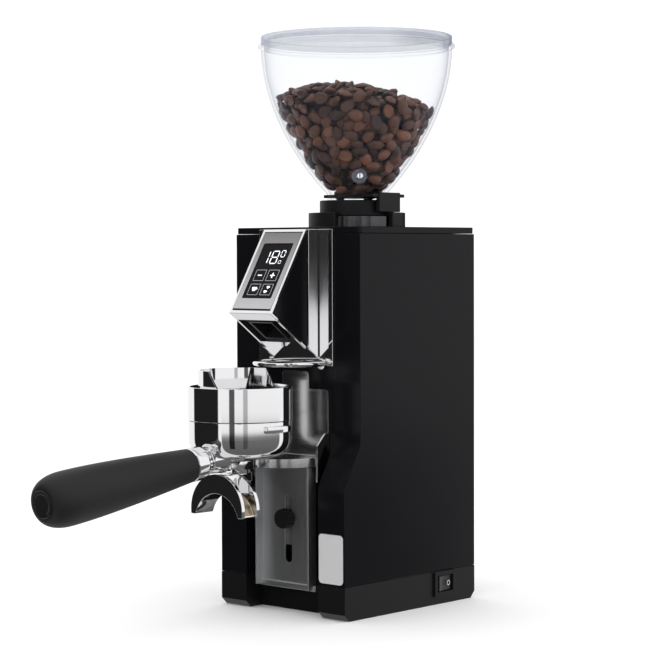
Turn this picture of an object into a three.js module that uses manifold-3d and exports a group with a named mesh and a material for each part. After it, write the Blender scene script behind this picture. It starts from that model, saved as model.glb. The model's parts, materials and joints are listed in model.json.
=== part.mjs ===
// Burr coffee grinder with a clear bean hopper, a display beak, a weighing fork and a portafilter.
// Millimetres, +Z up, the front faces -Y, origin on the ground under the middle of the case.
import * as THREE from 'three';
import { mergeVertices } from 'three/addons/utils/BufferGeometryUtils.js';
import Module from 'manifold-3d';

const wasm = await Module();
wasm.setup();

// ---- Driving dimensions ----------------------------------------------------------------------

const GAP = 0.3; // left between pieces that touch
const RUN = 0.7; // left round pieces that turn or slide
const OVER = 1; // how far a cut runs past what it cuts, and a join into what it joins
const FAR = 60; // past the side of any piece that is cut right through
const SIDES = { large: 28, medium: 20, small: 12 }; // facets of round pieces

// Folded steel case: two legs stand forward of the upper front, with a channel between them.
const CASE = {
  width: 125.4, rear: 75, front: -57.5, legFront: -75, top: 280, sheet: 1.5,
  channel: 73.4, slopeTop: 126.8, slopeFoot: 95.9,
};
const TRAY = { height: 25, wall: 4, floor: 4, chamfer: 5 };
const FOOT = { innerMargin: 2, outerMargin: 8, thick: 2.2 };
const COVER = { thick: 4.7, corner: 3 };
const VENT = { count: 6, length: 60, height: 3, pitch: 7, bottom: 40 };
const SWITCH = {
  y: 37.9, z: 15.4, length: 25.2, height: 18.8, proud: 1.3, depth: 14, rim: 1.5, sideWall: 2.2, endWall: 1.8,
};
const ROCKER = { tilt: 7, sink: 0.6, back: 2.5, raised: 1.6, dip: 0.4 };
const GLAND = { x: 30, z: 13, radius: 9, nose: 6, shank: 6.5, bore: 3.8, flange: 3, reach: 7, depth: 10 };
const BADGE = { margin: 1.3, height: 36, bottom: 26.6, thick: 0.5, corner: 3 };

// Space kept inside the case in front of and behind the motor.
const BAY = { front: 19, rear: 16.5 };

// Grinding set, stacked downwards from the case's top.
const BURR = {
  radius: 27.5, bore: 14, thick: 7.7, nip: 1,
  grooves: 8, grooveDepth: 1.4, grooveWidth: 2.4, grooveFrom: 9.8, grooveOffset: 3,
};
const CHAMBER = { clear: 5.8, wall: 6.7, floor: 6, depth: 47.7 };
const UPPER_CARRIER = { thick: 16.6, headroom: 1.4 };
const LOWER_CARRIER = { thick: 6.3, rim: 2.5, bladeFrom: 20, bladeHalf: 2, bladeDrop: 2 };
const DUCT = { width: 24, height: 19, wall: 3, step: 1 };
const THROAT = { radius: 20, foot: 15 };

// Motor under the chamber.
const SHAFT = { radius: 6, fit: 0.1, passage: 1.5, tail: 1, head: 2 };
const BEARING = { radius: 13, width: 9, seatWall: 3 };
const STATOR = { length: 85, bell: 26.4, bellWall: 4 };
const ROTOR = { radius: 29, inset: 2 };
const FAN = { radius: 38, height: 12, blades: 8, hub: 9, plate: 1.5, blade: 1.4, edge: 4 };

// Neck parts on the cover.
const PLINTH = { radius: 37, wall: 3.8, height: 11.1, windowFrom: -75, windowTo: -2 };
const DIAL = { radius: 32.7, hub: 26, height: 7.9, teeth: 30, toothDepth: 0.9 };
const COLLAR = { radius: 28.3, height: 12, ledge: 2.6, play: 0.4 };

// Clear hopper. The outline is its outer wall from the neck up, as [radius, height over the collar].
const HOPPER = {
  neck: 22.5, neckRise: 4.5, wall: 2.4, flange: 75, flangeThick: 2.2, mouth: 118,
  outline: [[23.5, 5.7], [30.5, 12.5], [39.6, 24.5], [51, 43], [61.2, 62.5], [67.6, 79], [71.4, 92],
    [72.6, 105], [72.8, 115.8]],
};
const LID = { radius: 73, height: 6.4, plate: 1.7, plug: 4.2, plugWall: 1.9 };
const GATE = { thick: 2.4, rise: 1.9, edge: 2, tabReach: 33.5, tabThick: 3.5, tabWidth: 24, tabTop: 5.5 };
const BOSS = { angle: -45, radius: 6, height: 17.5, reach: 37, screw: 3, screwLength: 2 };
const BEANS = { radius: 135, peak: 91, shiftX: -11, shiftY: -10, clearance: 0.8, headroom: 1, sides: 24 };

// Beak: a wedge with a tilted display face, on a neck bracket that is screwed to the case.
const BEAK = {
  width: 44.4, neckDepth: 10.7, faceRun: 37.4, faceDrop: 61.1, topDrop: 1.6, wall: 2,
  undersideSlope: 0.705, chin: 7.3, chinWall: 3.2, lip: 2.2, faceClear: 10, panel: 0.7,
};
const CHEEK = { topDrop: 1, tipBack: 2.5, tipRise: 0.4, footRise: 2 };
const NECK = { width: 47, plateWidth: 74, plate: 1.2, wall: 1.4, plateBottom: 5, windowMargin: 2 };
const BEZEL = {
  margin: 0.9, thick: 2, corner: 0.6, windowWidth: 29.6, windowTop: 12.1, windowLength: 46.7, windowCorner: 1,
};
const GLASS = { thick: 1.2, backing: 0.5, corner: 0.8 };
const DISPLAY = { thick: 1.9, wider: 2, shorter: 1 };
const CHUTE = {
  wall: 2, mouthDrop: 8, headroom: 2, bendBack: 2, bendFront: 4, lift: 1, lipBack: 3,
  insertDepth: 4, plate: 1.5,
};

// Wire bail that holds the back of the funnel down.
const BAIL = { radius: 2, reach: 27, straight: 4, ferrule: 4, ferruleLength: 1.6, drop: 3.5, steps: 12 };

// Portafilter, hung under the bail, and its dosing funnel.
const PORTAFILTER = {
  offset: 60.1, bowl: 37.5, wall: 2.6, depth: 28.8, base: [[14, 0], [18, 1.2], [23, 2.6]],
  sideHeight: 15, bendSteps: 4, lugReach: 3.5, lugHeight: 5, lugDrop: 2.5, lugHalf: 12, lugRoot: 1.5,
};
const BASKET = { radius: 30.4, wall: 1, depth: 21, bend: 3, bendInside: 3.6 };
const FUNNEL = {
  overhang: 0.2, height: 24.1, bore: 29.5, cone: 7.5, lip: 1.3,
  shield: 11.7, shieldWall: 1.5, shieldRoot: 2, openFrom: -2.6, openSlant: 15,
};
const HANDLE = {
  droop: 6.8, root: 0.6, drop: 27, boss: 10, bossRoot: 12, bossLength: 20,
  ferrule: 15.6, ferruleRadius: 12.2, ferruleNeck: 2.4, capSeat: 1,
  cap: 9.6, capThick: 1.6, capChamfer: 2, capEdge: 0.6,
  outline: [[12, 0], [12.6, 5], [14.2, 19], [15.6, 41], [17.4, 76], [18.6, 102], [18.8, 113.5],
    [18.1, 121.5], [15.8, 127.6], [12.4, 131.8], [10.4, 133]],
};
const SPOUT = {
  outer: 26, inner: 22.2, rise: 10.2, tip: 4, width: 18, channel: 12, floor: 3, forward: 15.8,
  divide: 8, nut: 10, nutHeight: 6.4, neck: 2, stem: 7,
  bridgeHalf: 7, bridgeDrop: 9, bridgeRise: 0.5, bridgeBack: 6,
};

// Weighing fork.
const CRADLE = {
  width: 65.4, sheet: 1.5, plateHeight: 49.1, tabWidth: 26.8, tabHeight: 13, tabRoot: 8, corner: 3,
  cheekFront: 11.7, cheekDrop: 18, cheekRise: 8.6, cheekStep: 3, tongue: 31.5, lip: 6.5, lipWall: 2,
};
const SLIDE = {
  width: 54, web: 8.5, flangeReach: 7.5, sheet: 1.5, bottom: 18, lipHeight: 4, lipWidth: 58, lipReach: 2,
};
const SLOT = { width: 7, from: 0.19, to: 0.7, stud: 0.525 };
const KNOB = { radius: 7.5, length: 7.5, teeth: 16, toothDepth: 0.7, stud: 2.5, bore: 2.9, tail: 3 };
const CELL = { width: 13, depth: 13, above: 45, below: 30, standoff: 4, relief: 4, reliefRise: 22 };
const CELL_BRACKET = { half: 24, height: 22, drop: 14 };
const ARM = { width: 30, height: 40, boss: 9.5 };

// Electrics inside the case.
const CAPACITOR = { radius: 14, height: 60, wallGap: 2, bottom: 122 };
const BOARD = { width: 70, height: 62, thick: 1.6, bottom: 50, wallGap: 12 };
const SUPPLY = { width: 60, depth: 60, height: 18, plate: 2 };
// What stands on each board, in from its left or right edge and up from its foot.
const RELAY = { left: 6, right: 26, reach: 10, low: 8, high: 26 };
const HEAT_SINK = { left: 30, right: 12, reach: 8, low: 30, topGap: 8 };
const BOARD_CAPACITOR = { radius: 6, reach: 9, right: 14, up: 14 };
const TRANSFORMER = { left: 6, right: 20, front: 20, rear: 16 };
const SUPPLY_CAPACITOR = { radius: 6, right: 10, rear: 12, drop: 3 };

// ---- Levels and places worked out from them --------------------------------------------------

const halfWidth = CASE.width / 2;
const legInner = CASE.channel / 2;
const legWidth = halfWidth - legInner;
const footRadius = (legWidth - FOOT.innerMargin - FOOT.outerMargin) / 2;
const caseFoot = TRAY.height + GAP;
const coverFoot = CASE.top + GAP;
const coverTop = coverFoot + COVER.thick;
const innerFront = CASE.front + CASE.sheet;
const innerRear = CASE.rear - CASE.sheet;
const axisY = (innerFront + BAY.front + innerRear - BAY.rear) / 2;
const capacitorX = -(halfWidth - CASE.sheet - CAPACITOR.wallGap - CAPACITOR.radius);
const capacitorY = innerRear - CAPACITOR.wallGap - CAPACITOR.radius;
const motorRadius = Math.min(
  (innerRear - innerFront - BAY.front - BAY.rear) / 2,
  halfWidth - CASE.sheet - RUN,
  Math.hypot(capacitorX, capacitorY - axisY) - CAPACITOR.radius - RUN,
);

const plinthFoot = coverTop + GAP;
const plinthTop = plinthFoot + PLINTH.height;
const dialFoot = plinthFoot + GAP;
const dialTop = dialFoot + DIAL.height;
const collarFoot = dialTop + GAP;
const collarTop = collarFoot + COLLAR.height;
const mouthTop = collarTop + HOPPER.mouth;

const chamberTop = CASE.top - GAP;
const chamberFoot = chamberTop - CHAMBER.depth;
const chamberFloor = chamberFoot + CHAMBER.floor;
const chamberBore = BURR.radius + CHAMBER.clear;
const chamberRadius = chamberBore + CHAMBER.wall;
const carrierTop = CASE.top - UPPER_CARRIER.headroom + GAP;
const carrierFoot = carrierTop - UPPER_CARRIER.thick;
const upperBurrTop = carrierFoot - GAP;
const upperBurrFoot = upperBurrTop - BURR.thick;
const lowerBurrTop = upperBurrFoot - BURR.nip;
const lowerBurrFoot = lowerBurrTop - BURR.thick;
const lowerCarrierTop = lowerBurrFoot - GAP;
const lowerCarrierFoot = lowerCarrierTop - LOWER_CARRIER.thick;

const topBellTop = chamberFoot - GAP;
const statorTop = topBellTop - STATOR.bell - GAP;
const statorFoot = statorTop - STATOR.length;
const bottomBellTop = statorFoot - GAP;
const bottomBellFoot = bottomBellTop - STATOR.bell;
const fanTop = bottomBellFoot - 2 * RUN;
const shaftFoot = fanTop - FAN.height - SHAFT.tail;

const neckFront = CASE.front - GAP - NECK.plate;
const beakRear = neckFront - GAP - BEAK.neckDepth;
const beakTop = coverTop - BEAK.topDrop;
const faceFoot = [beakRear - BEAK.faceRun, beakTop - BEAK.faceDrop];
const faceAngle = Math.atan2(BEAK.faceDrop, BEAK.faceRun);
const faceLength = Math.hypot(BEAK.faceRun, BEAK.faceDrop);
const undersideAt = (y) => faceFoot[1] - BEAK.undersideSlope * (y - faceFoot[0]);
const neckFoot = undersideAt(neckFront);

const bailZ = neckFoot - BAIL.drop;
const shieldTop = bailZ - BAIL.radius - RUN;
const funnelTop = shieldTop - FUNNEL.shield;
const funnelFoot = funnelTop - FUNNEL.height;
const bowlTop = funnelFoot - GAP;
const bowlFoot = bowlTop - PORTAFILTER.depth;
const filterY = CASE.front - PORTAFILTER.offset;
const basketRim = PORTAFILTER.bowl - PORTAFILTER.wall - GAP;
const funnelRadius = PORTAFILTER.bowl + FUNNEL.overhang;

const tongueTop = bowlFoot - GAP;
const plateRear = CASE.front - GAP;
const plateFront = plateRear - CRADLE.sheet;
const slideRear = CASE.front - SLIDE.web;
const slideFront = slideRear - SLIDE.sheet;
const slideTop = tongueTop - CRADLE.sheet - GAP;
const slideAt = (share) => SLIDE.bottom + share * (tongueTop - SLIDE.bottom);
const studZ = slideAt(SLOT.stud);
const cellFront = innerFront + CELL.standoff;
const cellRear = cellFront + CELL.depth;

// ---- Solids ----------------------------------------------------------------------------------

function solidOf(geometry) {
  const bare = geometry.clone();
  bare.deleteAttribute('normal');
  bare.deleteAttribute('uv');
  const merged = mergeVertices(bare, 1e-5);
  return new wasm.Manifold(new wasm.Mesh({
    numProp: 3,
    vertProperties: new Float32Array(merged.attributes.position.array),
    triVerts: new Uint32Array(merged.index.array),
  }));
}

function geometryOf(solid) {
  const { vertProperties, triVerts } = solid.getMesh();
  const geometry = new THREE.BufferGeometry();
  geometry.setAttribute('position', new THREE.BufferAttribute(new Float32Array(vertProperties), 3));
  geometry.setIndex(new THREE.BufferAttribute(new Uint32Array(triVerts), 1));
  geometry.computeVertexNormals();
  return geometry;
}

function moved(geometry, x, y, z) {
  return solidOf(geometry.translate(x, y, z));
}

function block(x0, x1, y0, y1, z0, z1) {
  const box = new THREE.BoxGeometry(x1 - x0, y1 - y0, z1 - z0);
  return moved(box, (x0 + x1) / 2, (y0 + y1) / 2, (z0 + z1) / 2);
}

function extruded(shape, depth, steps = 6) {
  return new THREE.ExtrudeGeometry(shape, { depth, bevelEnabled: false, curveSegments: steps });
}

function outlineShape(points) {
  return new THREE.Shape(points.map(([u, v]) => new THREE.Vector2(u, v)));
}

function roundedShape(u0, u1, v0, v1, radius) {
  const shape = new THREE.Shape();
  shape.moveTo(u0 + radius, v0);
  shape.absarc(u1 - radius, v0 + radius, radius, -Math.PI / 2, 0);
  shape.absarc(u1 - radius, v1 - radius, radius, 0, Math.PI / 2);
  shape.absarc(u0 + radius, v1 - radius, radius, Math.PI / 2, Math.PI);
  shape.absarc(u0 + radius, v0 + radius, radius, Math.PI, 1.5 * Math.PI);
  return shape;
}

// A shape drawn in X and Y, raised from z0 to z1.
function raised(shape, z0, z1, steps) {
  return moved(extruded(shape, z1 - z0, steps), 0, 0, z0);
}

// A shape drawn in X and Z, running from y0 back to y1.
function facing(shape, y0, y1, steps) {
  return moved(extruded(shape, y1 - y0, steps).rotateX(Math.PI / 2), 0, y1, 0);
}

// An outline of [y, z] points, running across from x0 to x1.
const acrossAxes = new THREE.Matrix4().makeBasis(
  new THREE.Vector3(0, 1, 0), new THREE.Vector3(0, 0, 1), new THREE.Vector3(1, 0, 0));
function across(points, x0, x1) {
  return moved(extruded(outlineShape(points), x1 - x0).applyMatrix4(acrossAxes), x0, 0, 0);
}

// A closed outline of [radius, z] points turned about an upright axis at (x, y).
function turned(points, x, y, sides = SIDES.large) {
  const loop = [...points];
  const [first, last] = [points[0], points[points.length - 1]];
  if (first[0] > 0 || last[0] > 0) loop.push(first);
  const profile = loop.map(([r, z]) => new THREE.Vector2(r, z));
  const area = profile.reduce((sum, p, i) => {
    const q = profile[(i + 1) % profile.length];
    return sum + p.x * q.y - q.x * p.y;
  }, 0);
  if (area < 0) profile.reverse();
  return moved(new THREE.LatheGeometry(profile, sides).rotateX(Math.PI / 2), x, y, 0);
}

function ring(outer, inner, z0, z1, x, y, sides) {
  return turned([[inner, z0], [outer, z0], [outer, z1], [inner, z1]], x, y, sides);
}

function disc(radius, z0, z1, x, y, sides) {
  return turned([[0, z0], [radius, z0], [radius, z1], [0, z1]], x, y, sides);
}

// A round bar along Y.
function barY(radius, y0, y1, x, z, sides = SIDES.small) {
  return moved(new THREE.CylinderGeometry(radius, radius, y1 - y0, sides), x, (y0 + y1) / 2, z);
}

// A toothed outline: a circle whose radius dips between its teeth.
function toothedShape(radius, dip, teeth) {
  const points = [];
  for (let i = 0; i < teeth * 2; i += 1) {
    const reach = i % 2 ? radius : radius - dip;
    const angle = (Math.PI * i) / teeth;
    points.push([reach * Math.cos(angle), reach * Math.sin(angle)]);
  }
  return outlineShape(points);
}

// The line at a set distance to the left of a line of points, with mitred corners.
function offsetLine(points, distance) {
  return points.map((point, i) => {
    const before = points[Math.max(i - 1, 0)];
    const after = points[Math.min(i + 1, points.length - 1)];
    const left = ([a, b]) => {
      const length = Math.hypot(b[0] - a[0], b[1] - a[1]) || 1;
      return [-(b[1] - a[1]) / length, (b[0] - a[0]) / length];
    };
    const n1 = i === 0 ? left([point, after]) : left([before, point]);
    const n2 = i === points.length - 1 ? n1 : left([point, after]);
    const middle = [n1[0] + n2[0], n1[1] + n2[1]];
    const scale = (2 * distance) / (middle[0] ** 2 + middle[1] ** 2);
    return [point[0] + middle[0] * scale, point[1] + middle[1] * scale];
  });
}

// ---- Finishes and the assembly ---------------------------------------------------------------

const FINISH = {
  blackPaint: [0x0b0b0c, 0.12, 0.2],
  blackPlastic: [0x161617, 0.5, 0],
  rubber: [0x101010, 0.9, 0],
  chrome: [0xdedfe2, 0.06, 1],
  stainless: [0x9a9b9d, 0.3, 1],
  brushed: [0xa8a8a6, 0.35, 1],
  aluminium: [0x9da0a3, 0.45, 1],
  steel: [0x7d8085, 0.35, 1],
  copper: [0x8a4b26, 0.4, 0.8],
  clear: [0xdfe6ea, 0.05, 0],
  glass: [0x050506, 0.04, 0],
  board: [0x0d3a20, 0.6, 0],
  beans: [0x2e170e, 0.45, 0],
  silver: [0xc4c5c7, 0.4, 0.6],
  grip: [0x1b1c1e, 0.6, 0],
};

const grinder = new THREE.Group();

function add(name, solid, finish, parent = grinder) {
  const [color, roughness, metalness] = FINISH[finish];
  const material = new THREE.MeshStandardMaterial({ color, roughness, metalness });
  const mesh = new THREE.Mesh(geometryOf(solid), material);
  mesh.name = name;
  parent.add(mesh);
}

// ---- Case, cover and base --------------------------------------------------------------------

function caseSolid(inset, low, high) {
  const half = halfWidth - inset;
  let solid = block(-half, half, CASE.front + inset, CASE.rear - inset, low, high);
  const inner = legInner + inset;
  const back = CASE.front + 3 * CASE.sheet;
  const leg = [
    [back, CASE.slopeTop - inset], [CASE.front + inset / 2, CASE.slopeTop - inset],
    [CASE.legFront + inset, CASE.slopeFoot - inset / 2], [CASE.legFront + inset, low], [back, low],
  ];
  for (const [x0, x1] of [[-half, -inner], [inner, half]]) {
    solid = solid.add(across(leg, x0, x1));
  }
  return solid;
}

function caseShell() {
  let shell = caseSolid(0, caseFoot, CASE.top)
    .subtract(caseSolid(CASE.sheet, caseFoot - OVER, CASE.top + OVER));
  const wallFrom = CASE.front - OVER;
  const wallTo = innerFront + OVER;
  const ductHalf = DUCT.width / 2 + DUCT.wall + GAP;
  const ductHigh = chamberFloor + DUCT.height + 2 * DUCT.wall;
  shell = shell.subtract(block(-ductHalf, ductHalf, wallFrom, wallTo, chamberFloor - OVER, ductHigh));
  shell = shell.subtract(barY(ARM.boss + RUN, wallFrom, wallTo, 0, studZ));
  for (let i = 0; i < VENT.count; i += 1) {
    const low = VENT.bottom + i * VENT.pitch;
    shell = shell.subtract(block(-VENT.length / 2, VENT.length / 2, innerRear - OVER, CASE.rear + OVER,
      low, low + VENT.height));
  }
  return shell;
}

function topCover() {
  const plate = roundedShape(-halfWidth, halfWidth, CASE.front, CASE.rear, COVER.corner);
  return raised(plate, coverFoot, coverTop)
    .subtract(disc(DIAL.hub + RUN, coverFoot - OVER, coverTop + OVER, 0, axisY));
}

const footInset = FOOT.outerMargin + footRadius;
const footPlaces = [
  ['foot_front_left', -1, CASE.legFront], ['foot_front_right', 1, CASE.legFront],
  ['foot_rear_left', -1, CASE.rear], ['foot_rear_right', 1, CASE.rear],
].map(([name, side, edge]) => [name, side * (halfWidth - footInset), edge - Math.sign(edge) * footInset]);

function baseTray() {
  const half = halfWidth;
  const outline = [
    [CASE.legFront, TRAY.chamfer], [CASE.legFront + TRAY.chamfer, 0], [CASE.rear - TRAY.chamfer, 0],
    [CASE.rear, TRAY.chamfer], [CASE.rear, TRAY.height], [CASE.legFront, TRAY.height],
  ];
  let tray = across(outline, -half, half)
    .subtract(block(-legInner, legInner, CASE.legFront - OVER, CASE.front, -OVER, TRAY.height + OVER));
  const { wall } = TRAY;
  tray = tray.subtract(block(-half + wall, half - wall, CASE.front + wall, CASE.rear - TRAY.chamfer,
    TRAY.floor, TRAY.height + OVER));
  const frame = switchBody(GAP);
  tray = tray.subtract(block(half - wall - OVER, half + OVER, frame.y0, frame.y1, frame.z0, frame.z1));
  tray = tray.subtract(barY(GLAND.shank + GAP, CASE.rear - TRAY.chamfer - OVER, CASE.rear + OVER,
    GLAND.x, GLAND.z));
  for (const [, x, y] of footPlaces) {
    tray = tray.subtract(disc(footRadius + GAP, -OVER, FOOT.thick + GAP, x, y, SIDES.small));
  }
  return tray;
}

// The box that the rocker switch's body fills, grown by a margin.
function switchBody(margin) {
  const halfLength = SWITCH.length / 2 - SWITCH.rim + margin;
  const halfHeight = SWITCH.height / 2 - SWITCH.rim + margin;
  return {
    y0: SWITCH.y - halfLength, y1: SWITCH.y + halfLength, z0: SWITCH.z - halfHeight, z1: SWITCH.z + halfHeight,
  };
}

function switchFrame() {
  const { y0, y1, z0, z1 } = switchBody(0);
  const face = halfWidth + GAP;
  const halfLength = SWITCH.length / 2;
  const halfHeight = SWITCH.height / 2;
  const rim = block(face, face + SWITCH.proud, SWITCH.y - halfLength, SWITCH.y + halfLength,
    SWITCH.z - halfHeight, SWITCH.z + halfHeight);
  const body = block(halfWidth - SWITCH.depth, face + SWITCH.proud / 2, y0, y1, z0, z1);
  const hollow = block(halfWidth - SWITCH.depth / 2, face + SWITCH.proud + OVER, y0 + SWITCH.sideWall,
    y1 - SWITCH.sideWall, z0 + SWITCH.endWall, z1 - SWITCH.endWall);
  return rim.add(body).subtract(hollow);
}

function switchRocker() {
  const { y0, y1, z0, z1 } = switchBody(0);
  const reach = (y1 - y0) / 2 - SWITCH.sideWall - RUN;
  const { back, raised: high, dip } = ROCKER;
  const outline = [[-back, -reach], [high, -reach], [dip, 0], [high, reach], [-back, reach]];
  const height = z1 - z0 - 2 * (SWITCH.endWall + GAP);
  const rocker = extruded(outlineShape(outline), height).rotateZ((ROCKER.tilt * Math.PI) / 180);
  return moved(rocker, halfWidth - ROCKER.sink, SWITCH.y, z0 + SWITCH.endWall + GAP);
}

function cableGland() {
  const along = (radius, y0, y1) => barY(radius, y0, y1, GLAND.x, GLAND.z);
  const seat = CASE.rear + GAP;
  const inside = CASE.rear - GLAND.depth;
  return along(GLAND.radius, seat, seat + GLAND.flange)
    .add(along(GLAND.nose, seat, seat + GLAND.reach))
    .add(along(GLAND.shank, inside, seat + OVER))
    .subtract(along(GLAND.bore, inside - OVER, seat + GLAND.reach + OVER));
}

function legBadge() {
  const shape = roundedShape(legInner + BADGE.margin, halfWidth - BADGE.margin,
    BADGE.bottom, BADGE.bottom + BADGE.height, BADGE.corner);
  return facing(shape, CASE.legFront - GAP - BADGE.thick, CASE.legFront - GAP);
}

add('case_shell', caseShell(), 'blackPaint');
add('base_tray', baseTray(), 'blackPlastic');
for (const [name, x, y] of footPlaces) {
  add(name, disc(footRadius, 0, FOOT.thick, x, y, SIDES.small), 'rubber');
}
add('top_cover', topCover(), 'blackPaint');
add('switch_frame', switchFrame(), 'blackPlastic');
add('switch_rocker', switchRocker(), 'blackPlastic');
add('cable_gland', cableGland(), 'blackPlastic');
add('leg_badge', legBadge(), 'silver');

// ---- Neck parts on the cover -----------------------------------------------------------------

function plinth() {
  const inner = PLINTH.radius - PLINTH.wall;
  const lip = COLLAR.radius + GAP;
  const lipFoot = dialTop + GAP;
  const body = turned([[inner, plinthFoot], [PLINTH.radius, plinthFoot], [PLINTH.radius, plinthTop],
    [lip, plinthTop], [lip, lipFoot], [inner, lipFoot]], 0, axisY);
  const window = new THREE.Shape();
  const [from, to] = [PLINTH.windowFrom, PLINTH.windowTo].map((angle) => (angle * Math.PI) / 180);
  const reach = 1.2 * PLINTH.radius;
  window.moveTo(0, 0);
  window.lineTo(reach * Math.cos(from), reach * Math.sin(from));
  window.absarc(0, 0, reach, from, to);
  const cut = moved(extruded(window, PLINTH.height + 2 * OVER), 0, axisY, plinthFoot - OVER);
  return body.subtract(cut);
}

function adjustingDial() {
  const wheel = moved(extruded(toothedShape(DIAL.radius, DIAL.toothDepth, DIAL.teeth), DIAL.height),
    0, axisY, dialFoot);
  const hub = disc(DIAL.hub, coverFoot, dialFoot + OVER, 0, axisY);
  return wheel.add(hub).subtract(disc(THROAT.radius, CASE.top - OVER, dialTop + OVER, 0, axisY));
}

function collar() {
  const bore = HOPPER.neck + COLLAR.play;
  const ledge = collarFoot + COLLAR.ledge;
  return turned([[THROAT.radius, collarFoot], [COLLAR.radius, collarFoot], [COLLAR.radius, collarTop],
    [bore, collarTop], [bore, ledge], [THROAT.radius, ledge]], 0, axisY);
}

add('hopper_plinth', plinth(), 'blackPlastic');
add('grind_dial', adjustingDial(), 'steel');
add('hopper_collar', collar(), 'blackPlastic');

// ---- Hopper, lid, gate and beans -------------------------------------------------------------

const neckFootZ = collarFoot + COLLAR.ledge + GAP;
const bowlOuter = [[HOPPER.neck, neckFootZ], [HOPPER.neck, collarTop + HOPPER.neckRise],
  ...HOPPER.outline.map(([r, z]) => [r, z + collarTop])];
const bowlInner = offsetLine(bowlOuter, HOPPER.wall);
const gateFoot = collarTop + GATE.rise;
const gateHalf = HOPPER.neck - HOPPER.wall - GATE.edge;

function hopper() {
  const flangeFoot = mouthTop - HOPPER.flangeThick;
  const mouthOuter = bowlOuter[bowlOuter.length - 1][0];
  const mouthInner = bowlInner[bowlInner.length - 1][0];
  const profile = [...bowlOuter.slice(0, -1), [mouthOuter, flangeFoot], [HOPPER.flange, flangeFoot],
    [HOPPER.flange, mouthTop], [mouthInner, mouthTop], ...bowlInner.slice(0, -1).reverse()];
  let bowl = turned(profile, 0, axisY);
  const boss = new THREE.CylinderGeometry(BOSS.radius, BOSS.radius, BOSS.reach - THROAT.radius, SIDES.small)
    .rotateZ(Math.PI / 2)
    .translate((BOSS.reach + THROAT.radius) / 2, 0, 0)
    .rotateZ((BOSS.angle * Math.PI) / 180);
  const inside = turned([[0, neckFootZ - OVER], ...bowlInner, [0, mouthTop]], 0, axisY);
  bowl = bowl.add(moved(boss, 0, axisY, collarTop + BOSS.height).subtract(inside));
  return bowl.subtract(block(-gateHalf, 1.2 * HOPPER.neck, axisY - gateHalf - GAP, axisY + gateHalf + GAP,
    gateFoot - GAP, gateFoot + GATE.thick + GAP));
}

function hopperLid() {
  const plugRadius = bowlInner[bowlInner.length - 1][0] - GAP;
  const foot = mouthTop + GAP;
  const under = foot + LID.height - LID.plate;
  const plugInner = plugRadius - LID.plugWall;
  const top = foot + LID.height;
  return turned([[0, under], [plugInner, under], [plugInner, foot - LID.plug], [plugRadius, foot - LID.plug],
    [plugRadius, foot], [LID.radius, foot], [LID.radius, top], [0, top]], 0, axisY);
}

function hopperGate() {
  const blade = block(-gateHalf + GAP, GATE.tabReach - OVER, axisY - gateHalf, axisY + gateHalf,
    gateFoot, gateFoot + GATE.thick);
  const tab = block(GATE.tabReach - GATE.tabThick, GATE.tabReach, axisY - GATE.tabWidth / 2,
    axisY + GATE.tabWidth / 2, plinthTop + GAP, collarTop + GATE.tabTop);
  return blade.add(tab);
}

function hopperScrew() {
  const screw = new THREE.CylinderGeometry(BOSS.screw, BOSS.screw, BOSS.screwLength, SIDES.small)
    .rotateZ(Math.PI / 2)
    .translate(BOSS.reach + GAP + BOSS.screwLength / 2, 0, 0)
    .rotateZ((BOSS.angle * Math.PI) / 180);
  return moved(screw, 0, axisY, collarTop + BOSS.height);
}

function coffeeBeans() {
  const foot = gateFoot + GATE.thick + 2 * GAP;
  const limit = mouthTop - LID.plug - BEANS.headroom;
  const wall = offsetLine(bowlInner, BEANS.clearance).filter(([, z]) => z > foot && z < limit);
  const filled = turned([[0, foot], [wall[0][0], foot], ...wall, [0, wall[wall.length - 1][1]]], 0, axisY);
  const heap = moved(new THREE.SphereGeometry(BEANS.radius, BEANS.sides, BEANS.sides).rotateX(Math.PI / 2),
    BEANS.shiftX, axisY + BEANS.shiftY, collarTop + BEANS.peak - BEANS.radius);
  return filled.intersect(heap);
}

add('hopper', hopper(), 'clear');
add('hopper_lid', hopperLid(), 'clear');
add('hopper_gate', hopperGate(), 'blackPlastic');
add('hopper_screw', hopperScrew(), 'chrome');
add('coffee_beans', coffeeBeans(), 'beans');

// ---- Grinding set ----------------------------------------------------------------------------

function grindingChamber() {
  const shaftBore = SHAFT.radius + SHAFT.passage;
  const cup = turned([[shaftBore, chamberFoot], [chamberRadius, chamberFoot], [chamberRadius, chamberTop],
    [chamberBore, chamberTop], [chamberBore, chamberFloor], [shaftBore, chamberFloor]], 0, axisY);
  const half = DUCT.width / 2;
  const boreFoot = chamberFloor + DUCT.step;
  const wallFoot = boreFoot - DUCT.wall;
  const ductTop = boreFoot + DUCT.height;
  const duct = block(-half - DUCT.wall, half + DUCT.wall, innerFront + GAP, axisY - chamberBore - OVER,
    wallFoot, ductTop + DUCT.wall);
  const bore = block(-half, half, innerFront - OVER, axisY - chamberBore / 2, boreFoot, ductTop);
  const cupHollow = disc(chamberBore, chamberFloor, chamberTop + OVER, 0, axisY);
  return cup.add(duct.subtract(cupHollow)).subtract(bore);
}

// A burr ring with slanted grooves cut in one face.
function burrRing(foot, cutAtTop) {
  let burr = ring(BURR.radius, BURR.bore, foot, foot + BURR.thick, 0, axisY, SIDES.medium);
  const cutHeight = BURR.grooveDepth + OVER;
  const low = cutAtTop ? foot + BURR.thick - BURR.grooveDepth : foot - OVER;
  for (let i = 0; i < BURR.grooves; i += 1) {
    const groove = new THREE.BoxGeometry(BURR.radius, BURR.grooveWidth, cutHeight)
      .translate(BURR.radius / 2 + BURR.grooveFrom, BURR.grooveOffset, 0)
      .rotateZ((2 * Math.PI * (i + 0.5)) / BURR.grooves);
    burr = burr.subtract(moved(groove, 0, axisY, low + cutHeight / 2));
  }
  return burr;
}

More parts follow.
